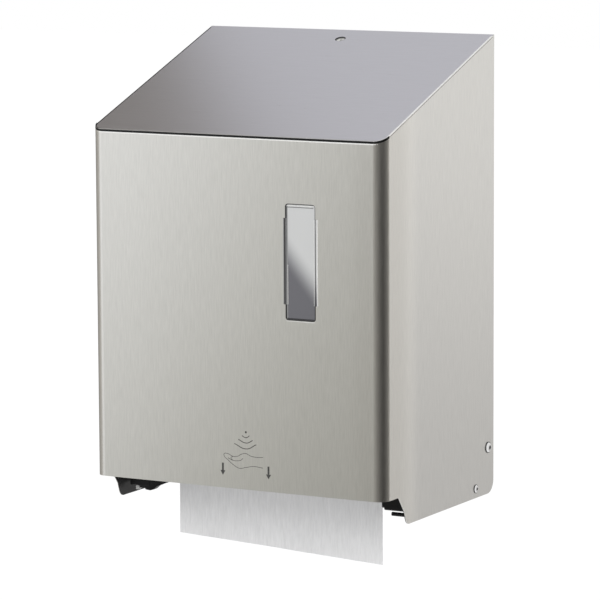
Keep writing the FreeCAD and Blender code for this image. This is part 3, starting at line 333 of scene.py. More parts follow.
def addCylinder(vertices, radius, depth, location, rotation=(0, 0, 0), ends="NGON"):
    bpy.ops.mesh.primitive_cylinder_add(vertices=vertices, radius=radius, depth=depth, end_fill_type=ends,
                                        location=location, rotation=rotation)
    return bpy.context.object


def addFlag(name, f, s):
    middle = (*f["centre"], (s["high"] + s["low"]) / 2)
    card = addCylinder(s["sides"], s["radius"], s["high"] - s["low"], middle, ends="NOTHING")
    card.name = name
    keepFaces(card, lambda centre: f["from"] < math.degrees(math.atan2(centre.x, -centre.y)) < f["to"])
    turned = math.radians(f["turned"])
    card.data.transform(Matrix.Rotation(-turned, 4, "Z"))
    card.rotation_euler.z = turned
    paint, tree = newGlow(name)
    around = addNode(tree, "TexGradient", {"Vector": ownPlace(tree)}, gradient_type="RADIAL").outputs["Fac"]
    tones = [((angle + f["turned"]) / 360.0 + 0.25, [tone * part for part in s["warmth"]])
             for angle, tone in f["tones"]]
    glow = addNode(tree, "Emission", {"Color": toneRamp(tree, around, tones)})
    offset = addVector(tree, "SUBTRACT", addNode(tree, "NewGeometry").outputs["Position"], middle)
    along = addVector(tree, "NORMALIZE", addVector(tree, "CROSS_PRODUCT", offset, (0.0, 0.0, 1.0)))
    louvre = addNode(tree, "LayerWeight", {"Normal": along}).outputs["Facing"]
    full, none = [1.0 - reach / s["radius"] for reach in s["grid"]]
    shown = softStep(tree, louvre, none, full)
    clear = addNode(tree, "BsdfTransparent").outputs[0]
    linkSurface(tree, addNode(tree, "MixShader", {0: shown, 1: clear, 2: glow.outputs[0]}))
    onlyForGloss(card, paint)


lamps = {
    "keyLamp": {"place": (-1.6, -2.6, 1.6), "faces": (0.0, -0.1, -0.05), "size": 1.6, "power": 28.0},
    "sideLamp": {"place": (2.6, -0.9, 0.9), "faces": (0.0, -0.1, -0.05), "size": 1.6, "power": 4.5},
}


def addLamp(name, l):
    bpy.ops.object.light_add(type="AREA", location=l["place"])
    lamp = bpy.context.object
    lamp.name = name
    lamp.data.size = l["size"]
    lamp.data.energy = l["power"]
    lamp.rotation_euler = (Vector(l["place"]) - Vector(l["faces"])).to_track_quat("Z", "Y").to_euler()
    lamp.visible_glossy = False


buildWorld(studio)
buildFloor(studio)
for name, settings in cards.items():
    addCard(name, settings)
for name, settings in flags.items():
    addFlag(name, settings, flagShape)
for name, settings in lamps.items():
    addLamp(name, settings)
pickNone()
print("studio built")


# Shader node groups that several finishes share
def newGroup(name, inputs, outputs):
    group = bpy.data.node_groups.new(name, "ShaderNodeTree")
    for label, kind, value in inputs:
        socket = group.interface.new_socket(name=label, in_out="INPUT", socket_type=kind)
        socket.default_value = value
    for label in outputs:
        group.interface.new_socket(name=label, in_out="OUTPUT", socket_type="NodeSocketFloat")
    return group, group.nodes.new("NodeGroupInput").outputs, group.nodes.new("NodeGroupOutput").inputs


# Fine streaks of a brushed or creped surface, drawn out by the scale
def makeStreakGroup():
    group, entry, leave = newGroup(
        "streaks",
        [("Scale", "NodeSocketVector", (900.0, 900.0, 9.0)), ("Contrast", "NodeSocketFloat", 1.6)],
        ["Streak"],
    )
    stretched = addVector(group, "MULTIPLY", ownPlace(group), entry["Scale"])
    fine = addNode(group, "TexNoise", {"Vector": stretched, "Scale": 1.0, "Detail": 4.0, "Roughness": 0.65})
    centred = addMath(group, "SUBTRACT", fine.outputs["Fac"], 0.5)
    spread = addNode(group, "Math", {0: centred, 1: entry["Contrast"], 2: 0.5},
                     operation="MULTIPLY_ADD", use_clamp=True)
    group.links.new(spread.outputs[0], leave["Streak"])
    return group


# Fine moulded grain or skin, with slow wear patches
def makeGrainGroup():
    group, entry, leave = newGroup(
        "mouldGrain",
        [("Size", "NodeSocketFloat", 2200.0), ("Patches", "NodeSocketFloat", 35.0)],
        ["Grain", "Patch"],
    )
    place = ownPlace(group)
    for scale, detail, result in (("Size", 2.0, "Grain"), ("Patches", 3.0, "Patch")):
        noise = addNode(group, "TexNoise", {"Vector": place, "Scale": entry[scale], "Detail": detail})
        group.links.new(noise.outputs["Fac"], leave[result])
    return group


streakGroup = makeStreakGroup()
grainGroup = makeGrainGroup()


def makeStreaked(name, b, settings, depth):
    finish, tree, shader = newFinish(name, settings)
    used = addNode(tree, "Group", {"Scale": b["scale"], "Contrast": b["contrast"]}, node_tree=streakGroup)
    streak = used.outputs["Streak"]
    linkTones(tree, streak, shader.inputs["Base Color"], b["dark"], b["light"])
    linkRange(tree, streak, shader.inputs["Roughness"], *b["rough"])
    linkBump(tree, streak, shader, b["bump"], depth)
    return finish


# Brushed sheet steel and turned metal: the scale gives the grain's direction
brushed = {
    "hoodSteel": {"scale": (950.0, 950.0, 60.0), "contrast": 1.3, "rough": (0.27, 0.36), "bump": 0.10,
                  "dark": (0.575, 0.57, 0.55), "light": (0.73, 0.72, 0.695)},
    "topSteel": {"scale": (40.0, 950.0, 950.0), "contrast": 1.8, "rough": (0.27, 0.36), "bump": 0.10,
                 "dark": (0.60, 0.585, 0.585), "light": (0.66, 0.645, 0.65)},
    "plateSteel": {"scale": (1500.0, 1500.0, 20.0), "contrast": 1.8, "rough": (0.30, 0.42), "bump": 0.10,
                   "dark": (0.50, 0.50, 0.50), "light": (0.60, 0.60, 0.60)},
    "turnedSteel": {"scale": (60.0, 900.0, 900.0), "contrast": 1.8, "rough": (0.18, 0.30), "bump": 0.08,
                    "dark": (0.52, 0.52, 0.52), "light": (0.66, 0.66, 0.65)},
    "springSteel": {"scale": (300.0, 300.0, 300.0), "contrast": 1.8, "rough": (0.20, 0.32), "bump": 0.05,
                    "dark": (0.38, 0.38, 0.39), "light": (0.52, 0.52, 0.52)},
    "bushBrass": {"scale": (60.0, 900.0, 900.0), "contrast": 1.8, "rough": (0.22, 0.36), "bump": 0.06,
                  "dark": (0.60, 0.43, 0.18), "light": (0.78, 0.60, 0.30)},
}
brushDepth = 0.00003

# Painted shade inside the hood's skirts, below the front panel's lower edge: the steel there is coloured
# dark and dull where shade falls under the hood
skirtShade = {
    "inside": 0.1470,
    "behind": frontY + 0.0107,
    "below": panelLow + 0.03,
    "tone": (0.020, 0.0195, 0.0195),
    "gloss": 0.25,
}


def paintSkirtShade(finish, l):
    tree = finish.node_tree
    shader = tree.nodes["Principled BSDF"]
    place = addNode(tree, "SeparateXYZ", {0: ownPlace(tree)}).outputs
    within = addMath(tree, "LESS_THAN", addMath(tree, "ABSOLUTE", place["X"], 0.0), l["inside"])
    behind = addMath(tree, "GREATER_THAN", place["Y"], l["behind"])
    below = addMath(tree, "LESS_THAN", place["Z"], l["below"])
    shadeMask = addMath(tree, "MULTIPLY", addMath(tree, "MULTIPLY", within, behind), below)
    steel = shader.inputs["Base Color"].links[0].from_socket
    tree.links.new(mixColours(tree, shadeMask, steel, (*l["tone"], 1.0)), shader.inputs["Base Color"])
    linkRange(tree, shadeMask, shader.inputs["Metallic"], 1.0, 0.0)
    shader.inputs["Specular IOR Level"].default_value = l["gloss"]


# Moulded plastics and rubber, smooth metals with faint wipe marks, a pale finish that also serves as
# painted highlight on edges, and worn print
grained = {
    "blackPlastic": {"size": 2600.0, "rough": (0.36, 0.50), "bump": 0.25, "gloss": 0.2,
                     "dark": (0.004, 0.004, 0.0045), "light": (0.009, 0.009, 0.0095)},
    "greyPlastic": {"size": 2600.0, "rough": (0.34, 0.46), "bump": 0.15,
                    "dark": (0.52, 0.52, 0.51), "light": (0.60, 0.60, 0.59)},
    "gearPlastic": {"size": 1800.0, "rough": (0.30, 0.44), "bump": 0.10,
                    "dark": (0.74, 0.72, 0.64), "light": (0.84, 0.82, 0.76)},
    "rollerRubber": {"size": 1400.0, "rough": (0.62, 0.80), "bump": 0.35,
                     "dark": (0.018, 0.018, 0.019), "light": (0.045, 0.045, 0.046)},
    "cellWrap": {"size": 600.0, "rough": (0.16, 0.26), "bump": 0.03,
                 "dark": (0.10, 0.11, 0.13), "light": (0.14, 0.15, 0.17)},
    "boardGreen": {"size": 900.0, "rough": (0.18, 0.30), "bump": 0.05,
                   "dark": (0.010, 0.070, 0.030), "light": (0.018, 0.110, 0.048)},
    "partBlack": {"size": 1800.0, "rough": (0.30, 0.44), "bump": 0.12,
                  "dark": (0.014, 0.014, 0.015), "light": (0.030, 0.030, 0.031)},
    "lampGreen": {"size": 600.0, "rough": (0.08, 0.16), "bump": 0.02,
                  "dark": (0.06, 0.30, 0.10), "light": (0.10, 0.42, 0.15)},
    "sensorLens": {"size": 600.0, "rough": (0.05, 0.10), "bump": 0.02,
                   "dark": (0.012, 0.003, 0.006), "light": (0.026, 0.008, 0.012)},
    "coreBoard": {"size": 900.0, "rough": (0.80, 0.92), "bump": 0.40,
                  "dark": (0.36, 0.27, 0.17), "light": (0.50, 0.40, 0.27)},
    "polishedMetal": {"metal": 1.0, "patches": 220.0, "rough": (0.10, 0.24),
                      "dark": (0.70, 0.70, 0.69), "light": (0.80, 0.80, 0.79)},
    "smoothChrome": {"metal": 1.0, "patches": 300.0, "rough": (0.03, 0.09),
                     "dark": (0.66, 0.66, 0.66), "light": (0.78, 0.78, 0.78)},
    "paleFinishAndHighlight": {"patches": 200.0, "rough": (0.20, 0.35),
                 "dark": (0.78, 0.78, 0.76), "light": (0.88, 0.88, 0.86)},
    "darkPrint": {"patches": 500.0, "rough": (0.45, 0.60),
                  "dark": (0.035, 0.035, 0.034), "light": (0.07, 0.068, 0.065)},
}
grainDepth = 0.00005


def makeGrained(name, m):
    settings = {"Specular IOR Level": m.get("gloss", 0.5), "Metallic": m.get("metal", 0.0)}
    finish, tree, shader = newFinish(name, settings)
    used = addNode(tree, "Group", {"Patches": m.get("patches", 35.0)}, node_tree=grainGroup)
    patch = used.outputs["Patch"]
    linkTones(tree, patch, shader.inputs["Base Color"], m["dark"], m["light"])
    linkRange(tree, patch, shader.inputs["Roughness"], *m["rough"])
    if "bump" in m:
        used.inputs["Size"].default_value = m["size"]
        linkBump(tree, used.outputs["Grain"], shader, m["bump"], grainDepth)
    return finish


paper = {
    "scale": (620.0, 620.0, 75.0),
    "contrast": 2.2,
    "dark": (0.785, 0.785, 0.79),
    "light": (0.91, 0.91, 0.915),
    "rough": (0.86, 0.95),
    "bump": 0.6,
    "depth": 0.00015,
    "gloss": 0.2,
    "sheen": 0.1,
}


def makePaper(name, p):
    return makeStreaked(name, p, {"Specular IOR Level": p["gloss"], "Sheen Weight": p["sheen"]}, p["depth"])


# The roll's wound layers show as fine rings on its ends
rollEnds = {
    "scale": 900.0,
    "detail": 3.0,
    "dark": (0.66, 0.66, 0.655),
    "light": (0.90, 0.90, 0.90),
    "margin": 0.0004,
}


def ringEnds(finish, r):
    tree = finish.node_tree
    base = tree.nodes["Principled BSDF"].inputs["Base Color"]
    low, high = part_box("paper_roll")
    place = ownPlace(tree)
    centred = addVector(tree, "SUBTRACT", place, (0.0, (low.y + high.y) / 2, (low.z + high.z) / 2))
    radius = addVector(tree, "LENGTH", addVector(tree, "MULTIPLY", centred, (0.0, 1.0, 1.0)))
    rings = addNode(tree, "TexNoise", {"W": radius, "Scale": r["scale"], "Detail": r["detail"]},
                    noise_dimensions="1D")
    aside = addMath(tree, "ABSOLUTE", addNode(tree, "SeparateXYZ", {0: place}).outputs["X"], 0.0)
    ends = addMath(tree, "GREATER_THAN", aside, high.x - r["margin"])
    ringed = mixColours(tree, rings.outputs["Fac"], (*r["dark"], 1.0), (*r["light"], 1.0))
    tree.links.new(mixColours(tree, ends, base.links[0].from_socket, ringed), base)


# Window pane, in painted light and shade: a grey strip painted as shade along its left edge, and over the
# slot a tone that turns from painted shade below a slant to painted light above it
pane = {
    "middle": 0.0655,
    "leftMargin": -0.0126,
    "turnHeight": panelLow + 0.200,
    "slant": 1.2,
    "softness": 0.018,
    "paintedShadeTone": (0.125, 0.124, 0.140),
    "paintedLightTone": (0.585, 0.59, 0.59),
    "ears": (0.27, 0.272, 0.275),
    "gloss": {"IOR": 1.46, "Coat Weight": 0.6, "Coat Roughness": 0.03},
    "patches": 60.0,
    "rough": (0.05, 0.14),
}


def makePane(w):
    finish, tree, shader = newFinish("clearPane", w["gloss"])
    place = addNode(tree, "SeparateXYZ", {0: ownPlace(tree)}).outputs
    offset = addMath(tree, "SUBTRACT", place["X"], w["middle"])
    ears = addMath(tree, "LESS_THAN", offset, w["leftMargin"])
    lifted = addMath(tree, "SUBTRACT", place["Z"], w["turnHeight"])
    slanted = addMath(tree, "ADD", lifted, addMath(tree, "MULTIPLY", offset, w["slant"]))
    turn = softStep(tree, slanted, -w["softness"], w["softness"])
    paintedTone = mixColours(tree, turn, (*w["paintedShadeTone"], 1.0), (*w["paintedLightTone"], 1.0))
    tree.links.new(mixColours(tree, ears, paintedTone, (*w["ears"], 1.0)), shader.inputs["Base Color"])
    used = addNode(tree, "Group", {"Patches": w["patches"]}, node_tree=grainGroup)
    linkRange(tree, used.outputs["Patch"], shader.inputs["Roughness"], *w["rough"])
    return finish


finishes = {name: makeStreaked(name, b, {"Metallic": 1.0}, brushDepth) for name, b in brushed.items()}
paintSkirtShade(finishes["hoodSteel"], skirtShade)
finishes.update({name: makeGrained(name, m) for name, m in grained.items()})
finishes.update({name: makePaper(name, paper) for name in ("crepedPaper", "rolledPaper")})
ringEnds(finishes["rolledPaper"], rollEnds)
finishes["clearPane"] = makePane(pane)

finishOfNode = {
    "hoodSteel": ["front_cover"],
    "topSteel": ["slanted_top"],
    "clearPane": ["level_window"],
    "polishedMetal": ["lock_body", "battery_contacts"],
    "paleFinishAndHighlight": ["lock_plug"],
    "plateSteel": ["back_plate", "lock_strike", "lock_cam", "tear_bar", "pinch_bar", "left_roll_arm",
                   "right_roll_arm", "arm_bracket"],
    "turnedSteel": ["hood_stop_screws", "hood_pivot_screws", "pivot_nuts", "chassis_screws", "guide_bar",
                    "feed_shaft", "pinch_shaft", "idler_pin", "arm_pin", "motor"],
    "blackPlastic": ["chassis_rear_wall", "chassis_left_cheek", "chassis_right_cheek", "gear_cover",
                     "left_end_cover", "roll_cradle", "front_beam", "outlet_guide", "pinch_arms",
                     "battery_box", "battery_lid", "sensor_housing", "power_switch", "release_lever"],
    "greyPlastic": ["pinch_sleeves", "left_hub", "right_hub", "length_switch", "feed_button"],
    "gearPlastic": ["feed_gear", "compound_gear"],
    "bushBrass": ["feed_bushes", "motor_pinion"],
    "rollerRubber": ["feed_sleeves"],
    "crepedPaper": ["paper_web"],
    "rolledPaper": ["paper_roll"],
    "coreBoard": ["roll_core"],
    "cellWrap": ["battery_cells"],
    "boardGreen": ["control_board"],
    "partBlack": ["board_components"],
    "sensorLens": ["sensor_lens"],
    "lampGreen": ["status_lamp"],
    "springSteel": ["pinch_springs", "arm_spring"],
}
for finishName, members in finishOfNode.items():
    for member in members:
        nodes[member].data.materials.clear()
        nodes[member].data.materials.append(finishes[finishName])
print("finishes made:", len(finishes))


# Shared steps for the pieces made here
def applyModifier(made, kind, **settings):
    pick(made)
    step = made.modifiers.new("step", kind)
    for setting, value in settings.items():
        setattr(step, setting, value)
    bpy.ops.object.modifier_apply(modifier="step")


def smoothIt(made, degrees=35):
    pick(made)
    bpy.ops.object.shade_smooth_by_angle(angle=math.radians(degrees))
    pickNone()


def cutAway(made, cutter):
    applyModifier(made, "BOOLEAN", operation="DIFFERENCE", object=cutter)
    pick(cutter)
    bpy.ops.object.delete()


def joinAll(pieces, name):
    pick(*pieces)
    bpy.ops.object.join()
    whole = bpy.context.object
    whole.name = name
    bpy.ops.object.transform_apply()
    return whole


def dress(made, finish, slot, body, *replaced):
    made.data.materials.clear()
    made.data.materials.append(finishes[finish])
    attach(made, body)
    if replaced:
        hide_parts(*replaced)
    pickNone()


# Rod along points in space, by handles that keep corners or round them
def drawRod(name, points, radius, handles="VECTOR", sides=2, steps=1, widths=None):
    bpy.ops.curve.primitive_bezier_curve_add(location=(0, 0, 0))
    curve = bpy.context.object
    spline = curve.data.splines[0]
    spline.bezier_points.add(len(points) - 2)
    for bezier, point in zip(spline.bezier_points, points):
        bezier.handle_left_type = handles
        bezier.handle_right_type = handles
        bezier.co = point
    for bezier, width in zip(spline.bezier_points, widths or []):
        bezier.radius = width
    curve.data.resolution_u = steps
    curve.data.bevel_depth = radius
    curve.data.bevel_resolution = sides
    curve.data.use_fill_caps = True
    bpy.ops.object.convert(target="MESH")
    made = bpy.context.object
    made.name = name
    return made


# Flat outline drawn out along y into a solid
def drawOutline(name, corners, depth):
    bpy.ops.mesh.primitive_circle_add(vertices=len(corners), radius=1.0, fill_type="NGON")
    made = bpy.context.object
    made.name = name
    for vertex, corner in zip(made.data.vertices, corners):
        vertex.co = corner
    pick(made)
    bpy.ops.object.mode_set(mode="EDIT")
    bpy.ops.mesh.select_all(action="SELECT")
    bpy.ops.mesh.extrude_region_move(TRANSFORM_OT_translate={"value": (0, depth, 0)})
    bpy.ops.mesh.select_all(action="SELECT")
    bpy.ops.mesh.normals_make_consistent(inside=False)
    bpy.ops.object.mode_set(mode="OBJECT")
    return made


# Paper end: one creped sheet from the roll over the guide bar and through the nip to the torn edge
paperSheet = {
    "columns": 130,
    "rows": 240,
    "thickness": 0.00022,
    "webHalf": 0.00015,  # half the thickness of the CAD's web
    "guideHeight": 0.080,
    "tailLeft": 0.0629,
    "tailRight": 0.0736,
    "hangsBelow": 0.002,
    "hangPower": 1.3,
    "wave": 0.0011,
    "waves": [(5.1, 0.6, 6.0, 1.0), (11.7, 2.0, 0.0, 0.5)],  # turns, start, shift down the tail, share
    "curl": 0.0016,
    "narrows": 0.006,
    "crease": 0.33,
    "creaseLean": 0.02,
    "creaseWidth": 0.018,
    "creaseDepth": 0.0007,
    "creaseStart": 12,
}


def makePaperSheet(p):
    low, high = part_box("paper_web")
    halfWidth = (high.x - low.x) / 2
    tailY = high.y - p["webHalf"]
    bend = Vector((tailY, panelLow + p["guideHeight"]))
    top = Vector((low.y + p["webHalf"], high.z))
    upper = (top - bend).length
    longest = p["tailRight"] + p["guideHeight"]
    tailMiddle = (p["tailLeft"] + p["tailRight"]) / 2
    tailSlant = (p["tailRight"] - p["tailLeft"]) / 2
    bpy.ops.mesh.primitive_grid_add(x_subdivisions=p["columns"], y_subdivisions=p["rows"], size=2.0)
    sheet = bpy.context.object
    sheet.name = "paperSheet"
    for point in sheet.data.vertices:
        across = point.co.x
        share = (point.co.y + 1) / 2  # 0 at the torn edge, 1 at the roll
        tail = tailMiddle + across * tailSlant
        lower = tail + p["guideHeight"]
        run = share * (lower + upper)
        if run < lower:
            y, z = tailY, panelLow - tail + run
        else:
            t = (run - lower) / upper
            y, z = bend.x + (top.x - bend.x) * t, bend.y + (top.y - bend.y) * t
        hanging = min(max((panelLow - p["hangsBelow"] - z) / longest, 0.0), 1.0) ** p["hangPower"]
        wave = sum(part * math.sin(across * turns + start + shift * hanging)
                   for turns, start, shift, part in p["waves"])
        fold = math.exp(-(((across - p["crease"] - p["creaseLean"] * share) / p["creaseWidth"]) ** 2))
        y += p["creaseDepth"] * fold * min(1.0, p["creaseStart"] * hanging)
        y += p["wave"] * hanging * wave - p["curl"] * hanging * across ** 4
        narrower = p["narrows"] * hanging * (0.5 + 0.5 * math.sin(9 * hanging + 2 * across))
        point.co = (halfWidth * across * (1 - narrower), y, z)
    applyModifier(sheet, "SOLIDIFY", thickness=p["thickness"], offset=0.0)
    bpy.ops.object.shade_smooth_by_angle(angle=math.radians(40))
    sheet.data.materials.append(finishes["crepedPaper"])
    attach(sheet, "housing")
    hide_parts("paper_web")
    length = tailMiddle + p["guideHeight"] + upper
    pickNone()
    return length


paperLength = makePaperSheet(paperSheet)
print("paper sheet made, length", round(paperLength, 4))


# Printed sign on the front: sensing arcs over an open hand, and two arrows for the paper, in mm
# from the front's middle and over its lower edge
sign = {
    "stroke": 0.00042,
    "thin": 0.00026,
    "proud": 0.00006,
    "dot": (9.6, 51.6, 1.0),
    "arcs": [
        ((5.6, 48.2), (9.7, 46.7), (13.2, 48.6)),
        ((1.9, 44.6), (10.1, 41.9), (16.4, 44.7)),
        ((-2.2, 40.6), (10.0, 36.6), (20.0, 41.2)),
    ],
    "hand": [
        [(-12.2, 31.2), (-8.6, 30.9), (-3.6, 28.9), (1.0, 29.4), (5.2, 31.6), (9.6, 32.4), (14.2, 30.6),
         (20.0, 29.9), (27.0, 30.4)],
        [(-12.2, 31.2), (-13.0, 29.6), (-8.4, 25.0), (-3.4, 21.4), (2.6, 18.7), (9.4, 19.9), (16.6, 21.4),
         (26.8, 20.8)],
        [(-8.8, 27.2), (-4.2, 25.4), (0.8, 25.2), (4.6, 26.2), (6.4, 27.9)],
        [(-3.6, 28.9), (-5.8, 27.4), (-4.2, 25.4)],
    ],
    "arrows": [(-14.1, 22.4, 11.4), (32.3, 22.6, 11.2)],
    "arrowHead": (5.0, 4.2),
    "arrowShaft": 1.9,
}


def signPoint(x, height):
    return Vector((x * mm, frontY, panelLow + height * mm))


def drawStroke(points, radius):
    return drawRod("stroke", [signPoint(*point) for point in points], radius, "AUTO", 1, 10)


def drawArrow(x, top, tip, s):
    wide, tall = s["arrowHead"]
    bpy.ops.mesh.primitive_cube_add(size=1.0, location=signPoint(x, (top + tip + tall) / 2))
    shaft = bpy.context.object
    shaft.scale = (s["arrowShaft"] * mm, 2 * s["stroke"], (top - tip - tall) * mm)
    bpy.ops.object.transform_apply()
    corners = [(x - wide / 2, tip + tall), (x + wide / 2, tip + tall), (x, tip)]
    return [shaft, drawOutline("head", [signPoint(*corner) for corner in corners], -s["stroke"])]


def makeSign(s):
    marks = [drawStroke(points, s["stroke"]) for points in s["arcs"]]
    marks += [drawStroke(points, s["thin"]) for points in s["hand"]]
    x, height, radius = s["dot"]
    marks.append(addCylinder(24, radius * mm, 2 * s["stroke"], signPoint(x, height), (math.pi / 2, 0, 0)))
    for x, top, tip in s["arrows"]:
        marks += drawArrow(x, top, tip, s)
    whole = joinAll(marks, "frontSign")
    flat = s["proud"] / s["stroke"]
    for vertex in whole.data.vertices:
        vertex.co.y = frontY + (vertex.co.y - frontY) * flat
    dress(whole, "darkPrint", "black_plastic", "hood")


makeSign(sign)
print("front sign printed")


# Upper edge of the hood, in painted light and shade: round the front a black strip painted as the shade in
# the seam and a pale line painted as a highlight; along the sides rims painted as shade on the left and as
# a highlight on the right, and a fine painted shade
hoodEdge = {
    "bend": 0.0105,
    "arcSteps": 8,
    "slantFront": 0.315,  # height of the slant's front end over the front panel's lower edge
    "slantRear": -0.0007,  # y of its rear end
    "rearGap": 0.004,
    "proud": 0.00006,
    "seamShadeHalf": 0.0011,
    "seamShadeDrop": 0.0012,
    "seamShadeRise": 0.0007,
    "seamShadeEnd": 1.25,
    "lineHalf": 0.00055,
    "lineDrop": 0.0027,
    "lineFrom": 0.6,
    "rimHalf": 0.0009,
    "rimInset": 0.00085,
    "leftRim": 0.7,
    "shadeHalf": 0.00022,
    "shadeDrop": 0.0010,
}
slope = (hoodHigh.z - panelLow - hoodEdge["slantFront"]) / (hoodEdge["slantRear"] - frontY)


def slantHeight(y):
    return hoodHigh.z + (y - hoodEdge["slantRear"]) * slope


# Points along the front bends, each with its share of the way from the sides (0) to the front (1)
def bendPoints(e, inset=0.0):
    half = hoodHigh.x - e["bend"]
    front = frontY + e["bend"]
    radius = e["bend"] - inset
    corner = []
    for step in range(e["arcSteps"] + 1):
        share = step / e["arcSteps"]
        turn = share * math.pi / 2
        corner.append((share, half + radius * math.cos(turn), front - radius * math.sin(turn)))
    return corner + [(share, -x, y) for share, x, y in reversed(corner)]


# Flatten a rod onto the hood's walls, or onto its slanted top
def pressOnWall(made, path, half):
    for vertex in made.data.vertices:
        nearest = min(path, key=lambda point: (point - vertex.co).length)
        vertex.co.x = nearest.x + (vertex.co.x - nearest.x) * hoodEdge["proud"] / half
        vertex.co.y = nearest.y + (vertex.co.y - nearest.y) * hoodEdge["proud"] / half


def pressOnTop(made, half):
    for vertex in made.data.vertices:
        level = slantHeight(vertex.co.y)
        vertex.co.z = level + (vertex.co.z - level) * hoodEdge["proud"] / half


def makeHoodEdge(e):
    plan = bendPoints(e)
    rear, front = -e["rearGap"], plan[0][2]
    lift, end, start = e["seamShadeRise"], e["seamShadeEnd"], e["lineFrom"]
    path = [Vector((x, y, slantHeight(y) - e["seamShadeDrop"] + lift * (1 - share))) for share, x, y in plan]
    widths = [end + (1 - end) * share for share, x, y in plan]
    seamShade = drawRod("seamShade", path, e["seamShadeHalf"], widths=widths)
    pressOnWall(seamShade, path, e["seamShadeHalf"])
    kept = [(share, x, y) for share, x, y in plan if share > start]
    path = [Vector((x, y, slantHeight(y) - e["lineDrop"])) for share, x, y in kept]
    widths = [(share - start) / (1 - start) for share, x, y in kept]
    line = drawRod("line", path, e["lineHalf"], sides=3, widths=widths)
    pressOnWall(line, path, e["lineHalf"])
    bend = bendPoints(e, e["rimInset"])[:e["arcSteps"] + 1]
    rims = []
    for side, wide in ((-1, e["leftRim"]), (1, 1.0)):
        ends = [(side * x, y) for share, x, y in bend[::-1]] + [(side * bend[0][1], rear)]
        path = [Vector((x, y, slantHeight(y))) for x, y in ends]
        widths = [wide * (1 - share) for share, x, y in bend[::-1]] + [wide]
        rim = drawRod("rim", path, e["rimHalf"], widths=widths)
        pressOnTop(rim, e["rimHalf"])
        rims.append(rim)
    path = [Vector((hoodHigh.x, y, slantHeight(y) - e["shadeDrop"])) for y in (front, rear)]
    shade = drawRod("shade", path, e["shadeHalf"])
    pressOnWall(shade, path, e["shadeHalf"])
    # Black: the painted shade in the seam, on the left rim and along the side
    dress(joinAll([seamShade, rims[0], shade], "hoodEdgeShade"), "blackPlastic", "black_plastic", "hood")
    # Pale: the painted highlight round the front and on the right rim
    bright = joinAll([line, rims[1]], "hoodEdgeHighlight")
    smoothIt(bright, 60)
    dress(bright, "paleFinishAndHighlight", "hood_steel", "hood")


makeHoodEdge(hoodEdge)
print("hood edge made")


# Painted shade in the lock's hole: a black sleeve that lines the hole and lies on the rim of its plug
lockHoleShade = {
    "place": -0.020,  # y of its middle
    "radius": 0.00494,
    "deep": 0.00158,
    "lip": 0.0004,
    "thick": 0.0002,
    "sides": 56,
}


def makeLockHoleShade(s):
    tilt = math.atan(slope)
    normal = Vector((0, -math.sin(tilt), math.cos(tilt)))
    middle = Vector((0, s["place"], slantHeight(s["place"]))) - normal * s["deep"] / 2
    holeShade = addCylinder(s["sides"], s["radius"], s["deep"], middle, (tilt, 0, 0))
    holeShade.name = "lockHoleShade"
    bpy.ops.object.transform_apply()
    nearEnd = s["deep"] * 0.4
    keepFaces(holeShade, lambda centre: (centre - middle).dot(normal) < nearEnd)
    pick(holeShade)
    for face in holeShade.data.polygons:
        face.select = (face.center - middle).dot(normal) < -nearEnd
    bpy.ops.object.mode_set(mode="EDIT")
    bpy.ops.mesh.inset(thickness=s["lip"])
    bpy.ops.mesh.delete(type="FACE")
    bpy.ops.object.mode_set(mode="OBJECT")
    applyModifier(holeShade, "SOLIDIFY", thickness=s["thick"], offset=-1.0)
    smoothIt(holeShade)
    dress(holeShade, "blackPlastic", "black_plastic", "hood")


makeLockHoleShade(lockHoleShade)
print("lock seal made")


# Window surround: a dark rod in the slot and fine dark lines, painted shade, and bright lines,
# painted highlights, around it. Each line in mm: ends from the window's middle and over the
# panel's lower edge, place behind the front, and radius
surround = {
    "slot": (0.030, 0.1545, 0.2565),  # width, lowest and highest edge over the front panel's lower edge
    "corner": 0.0022,
    "cornerSteps": 5,
    "slotShade": 0.00055,
    "slotShadeInset": 0.00045,
    "slotShadeTop": 0.0004,
    "slotShadeSunk": 0.0001,
    "thin": (0.35, 0.7),  # shares of its width at the upper right corner, and along the top
    "dark": [
        ((-15.5, 168.5), (-15.5, 244.5), -0.6, 0.476),
        ((15.2, 168.5), (15.2, 244.5), -0.6, 0.336),
        ((-13.9, 244.5), (-13.9, 254.5), 0.3, 0.4),
        ((-13.9, 156.5), (-13.9, 168.5), 0.3, 0.4),
        ((-14.6, 168.5), (-14.6, 244.5), -0.6, 0.28),
        ((-13.0, 254.2), (13.0, 254.2), 0.1, 0.2),
        ((-13.0, 156.1), (13.0, 156.1), 0.1, 0.35),
    ],
    "bright": [
        ((16.9, 168.5), (16.9, 244.5), 0.0, 0.5),
        ((13.8, 168.5), (13.8, 244.5), 0.0, 0.4),
        ((-12.5, 168.5), (-12.5, 203.5), 0.0, 0.22),
        ((-14.0, 153.9), (14.0, 153.9), 0.1, 0.28),
        ((-13.0, 255.5), (13.0, 255.5), 0.1, 0.392),
    ],
}


def windowLoop(left, right, low, high, y, w):
    corner, steps = w["corner"], w["cornerSteps"]
    loop = []
    corners = ((right - corner, high - corner), (left + corner, high - corner),
               (left + corner, low + corner), (right - corner, low + corner))
    for quarter, (centreX, centreZ) in enumerate(corners):
        for step in range(steps + 1):
            turn = math.radians(90 * (quarter + step / steps))
            loop.append(Vector((centreX + corner * math.cos(turn), y, centreZ + corner * math.sin(turn))))
    return loop + [loop[0]]


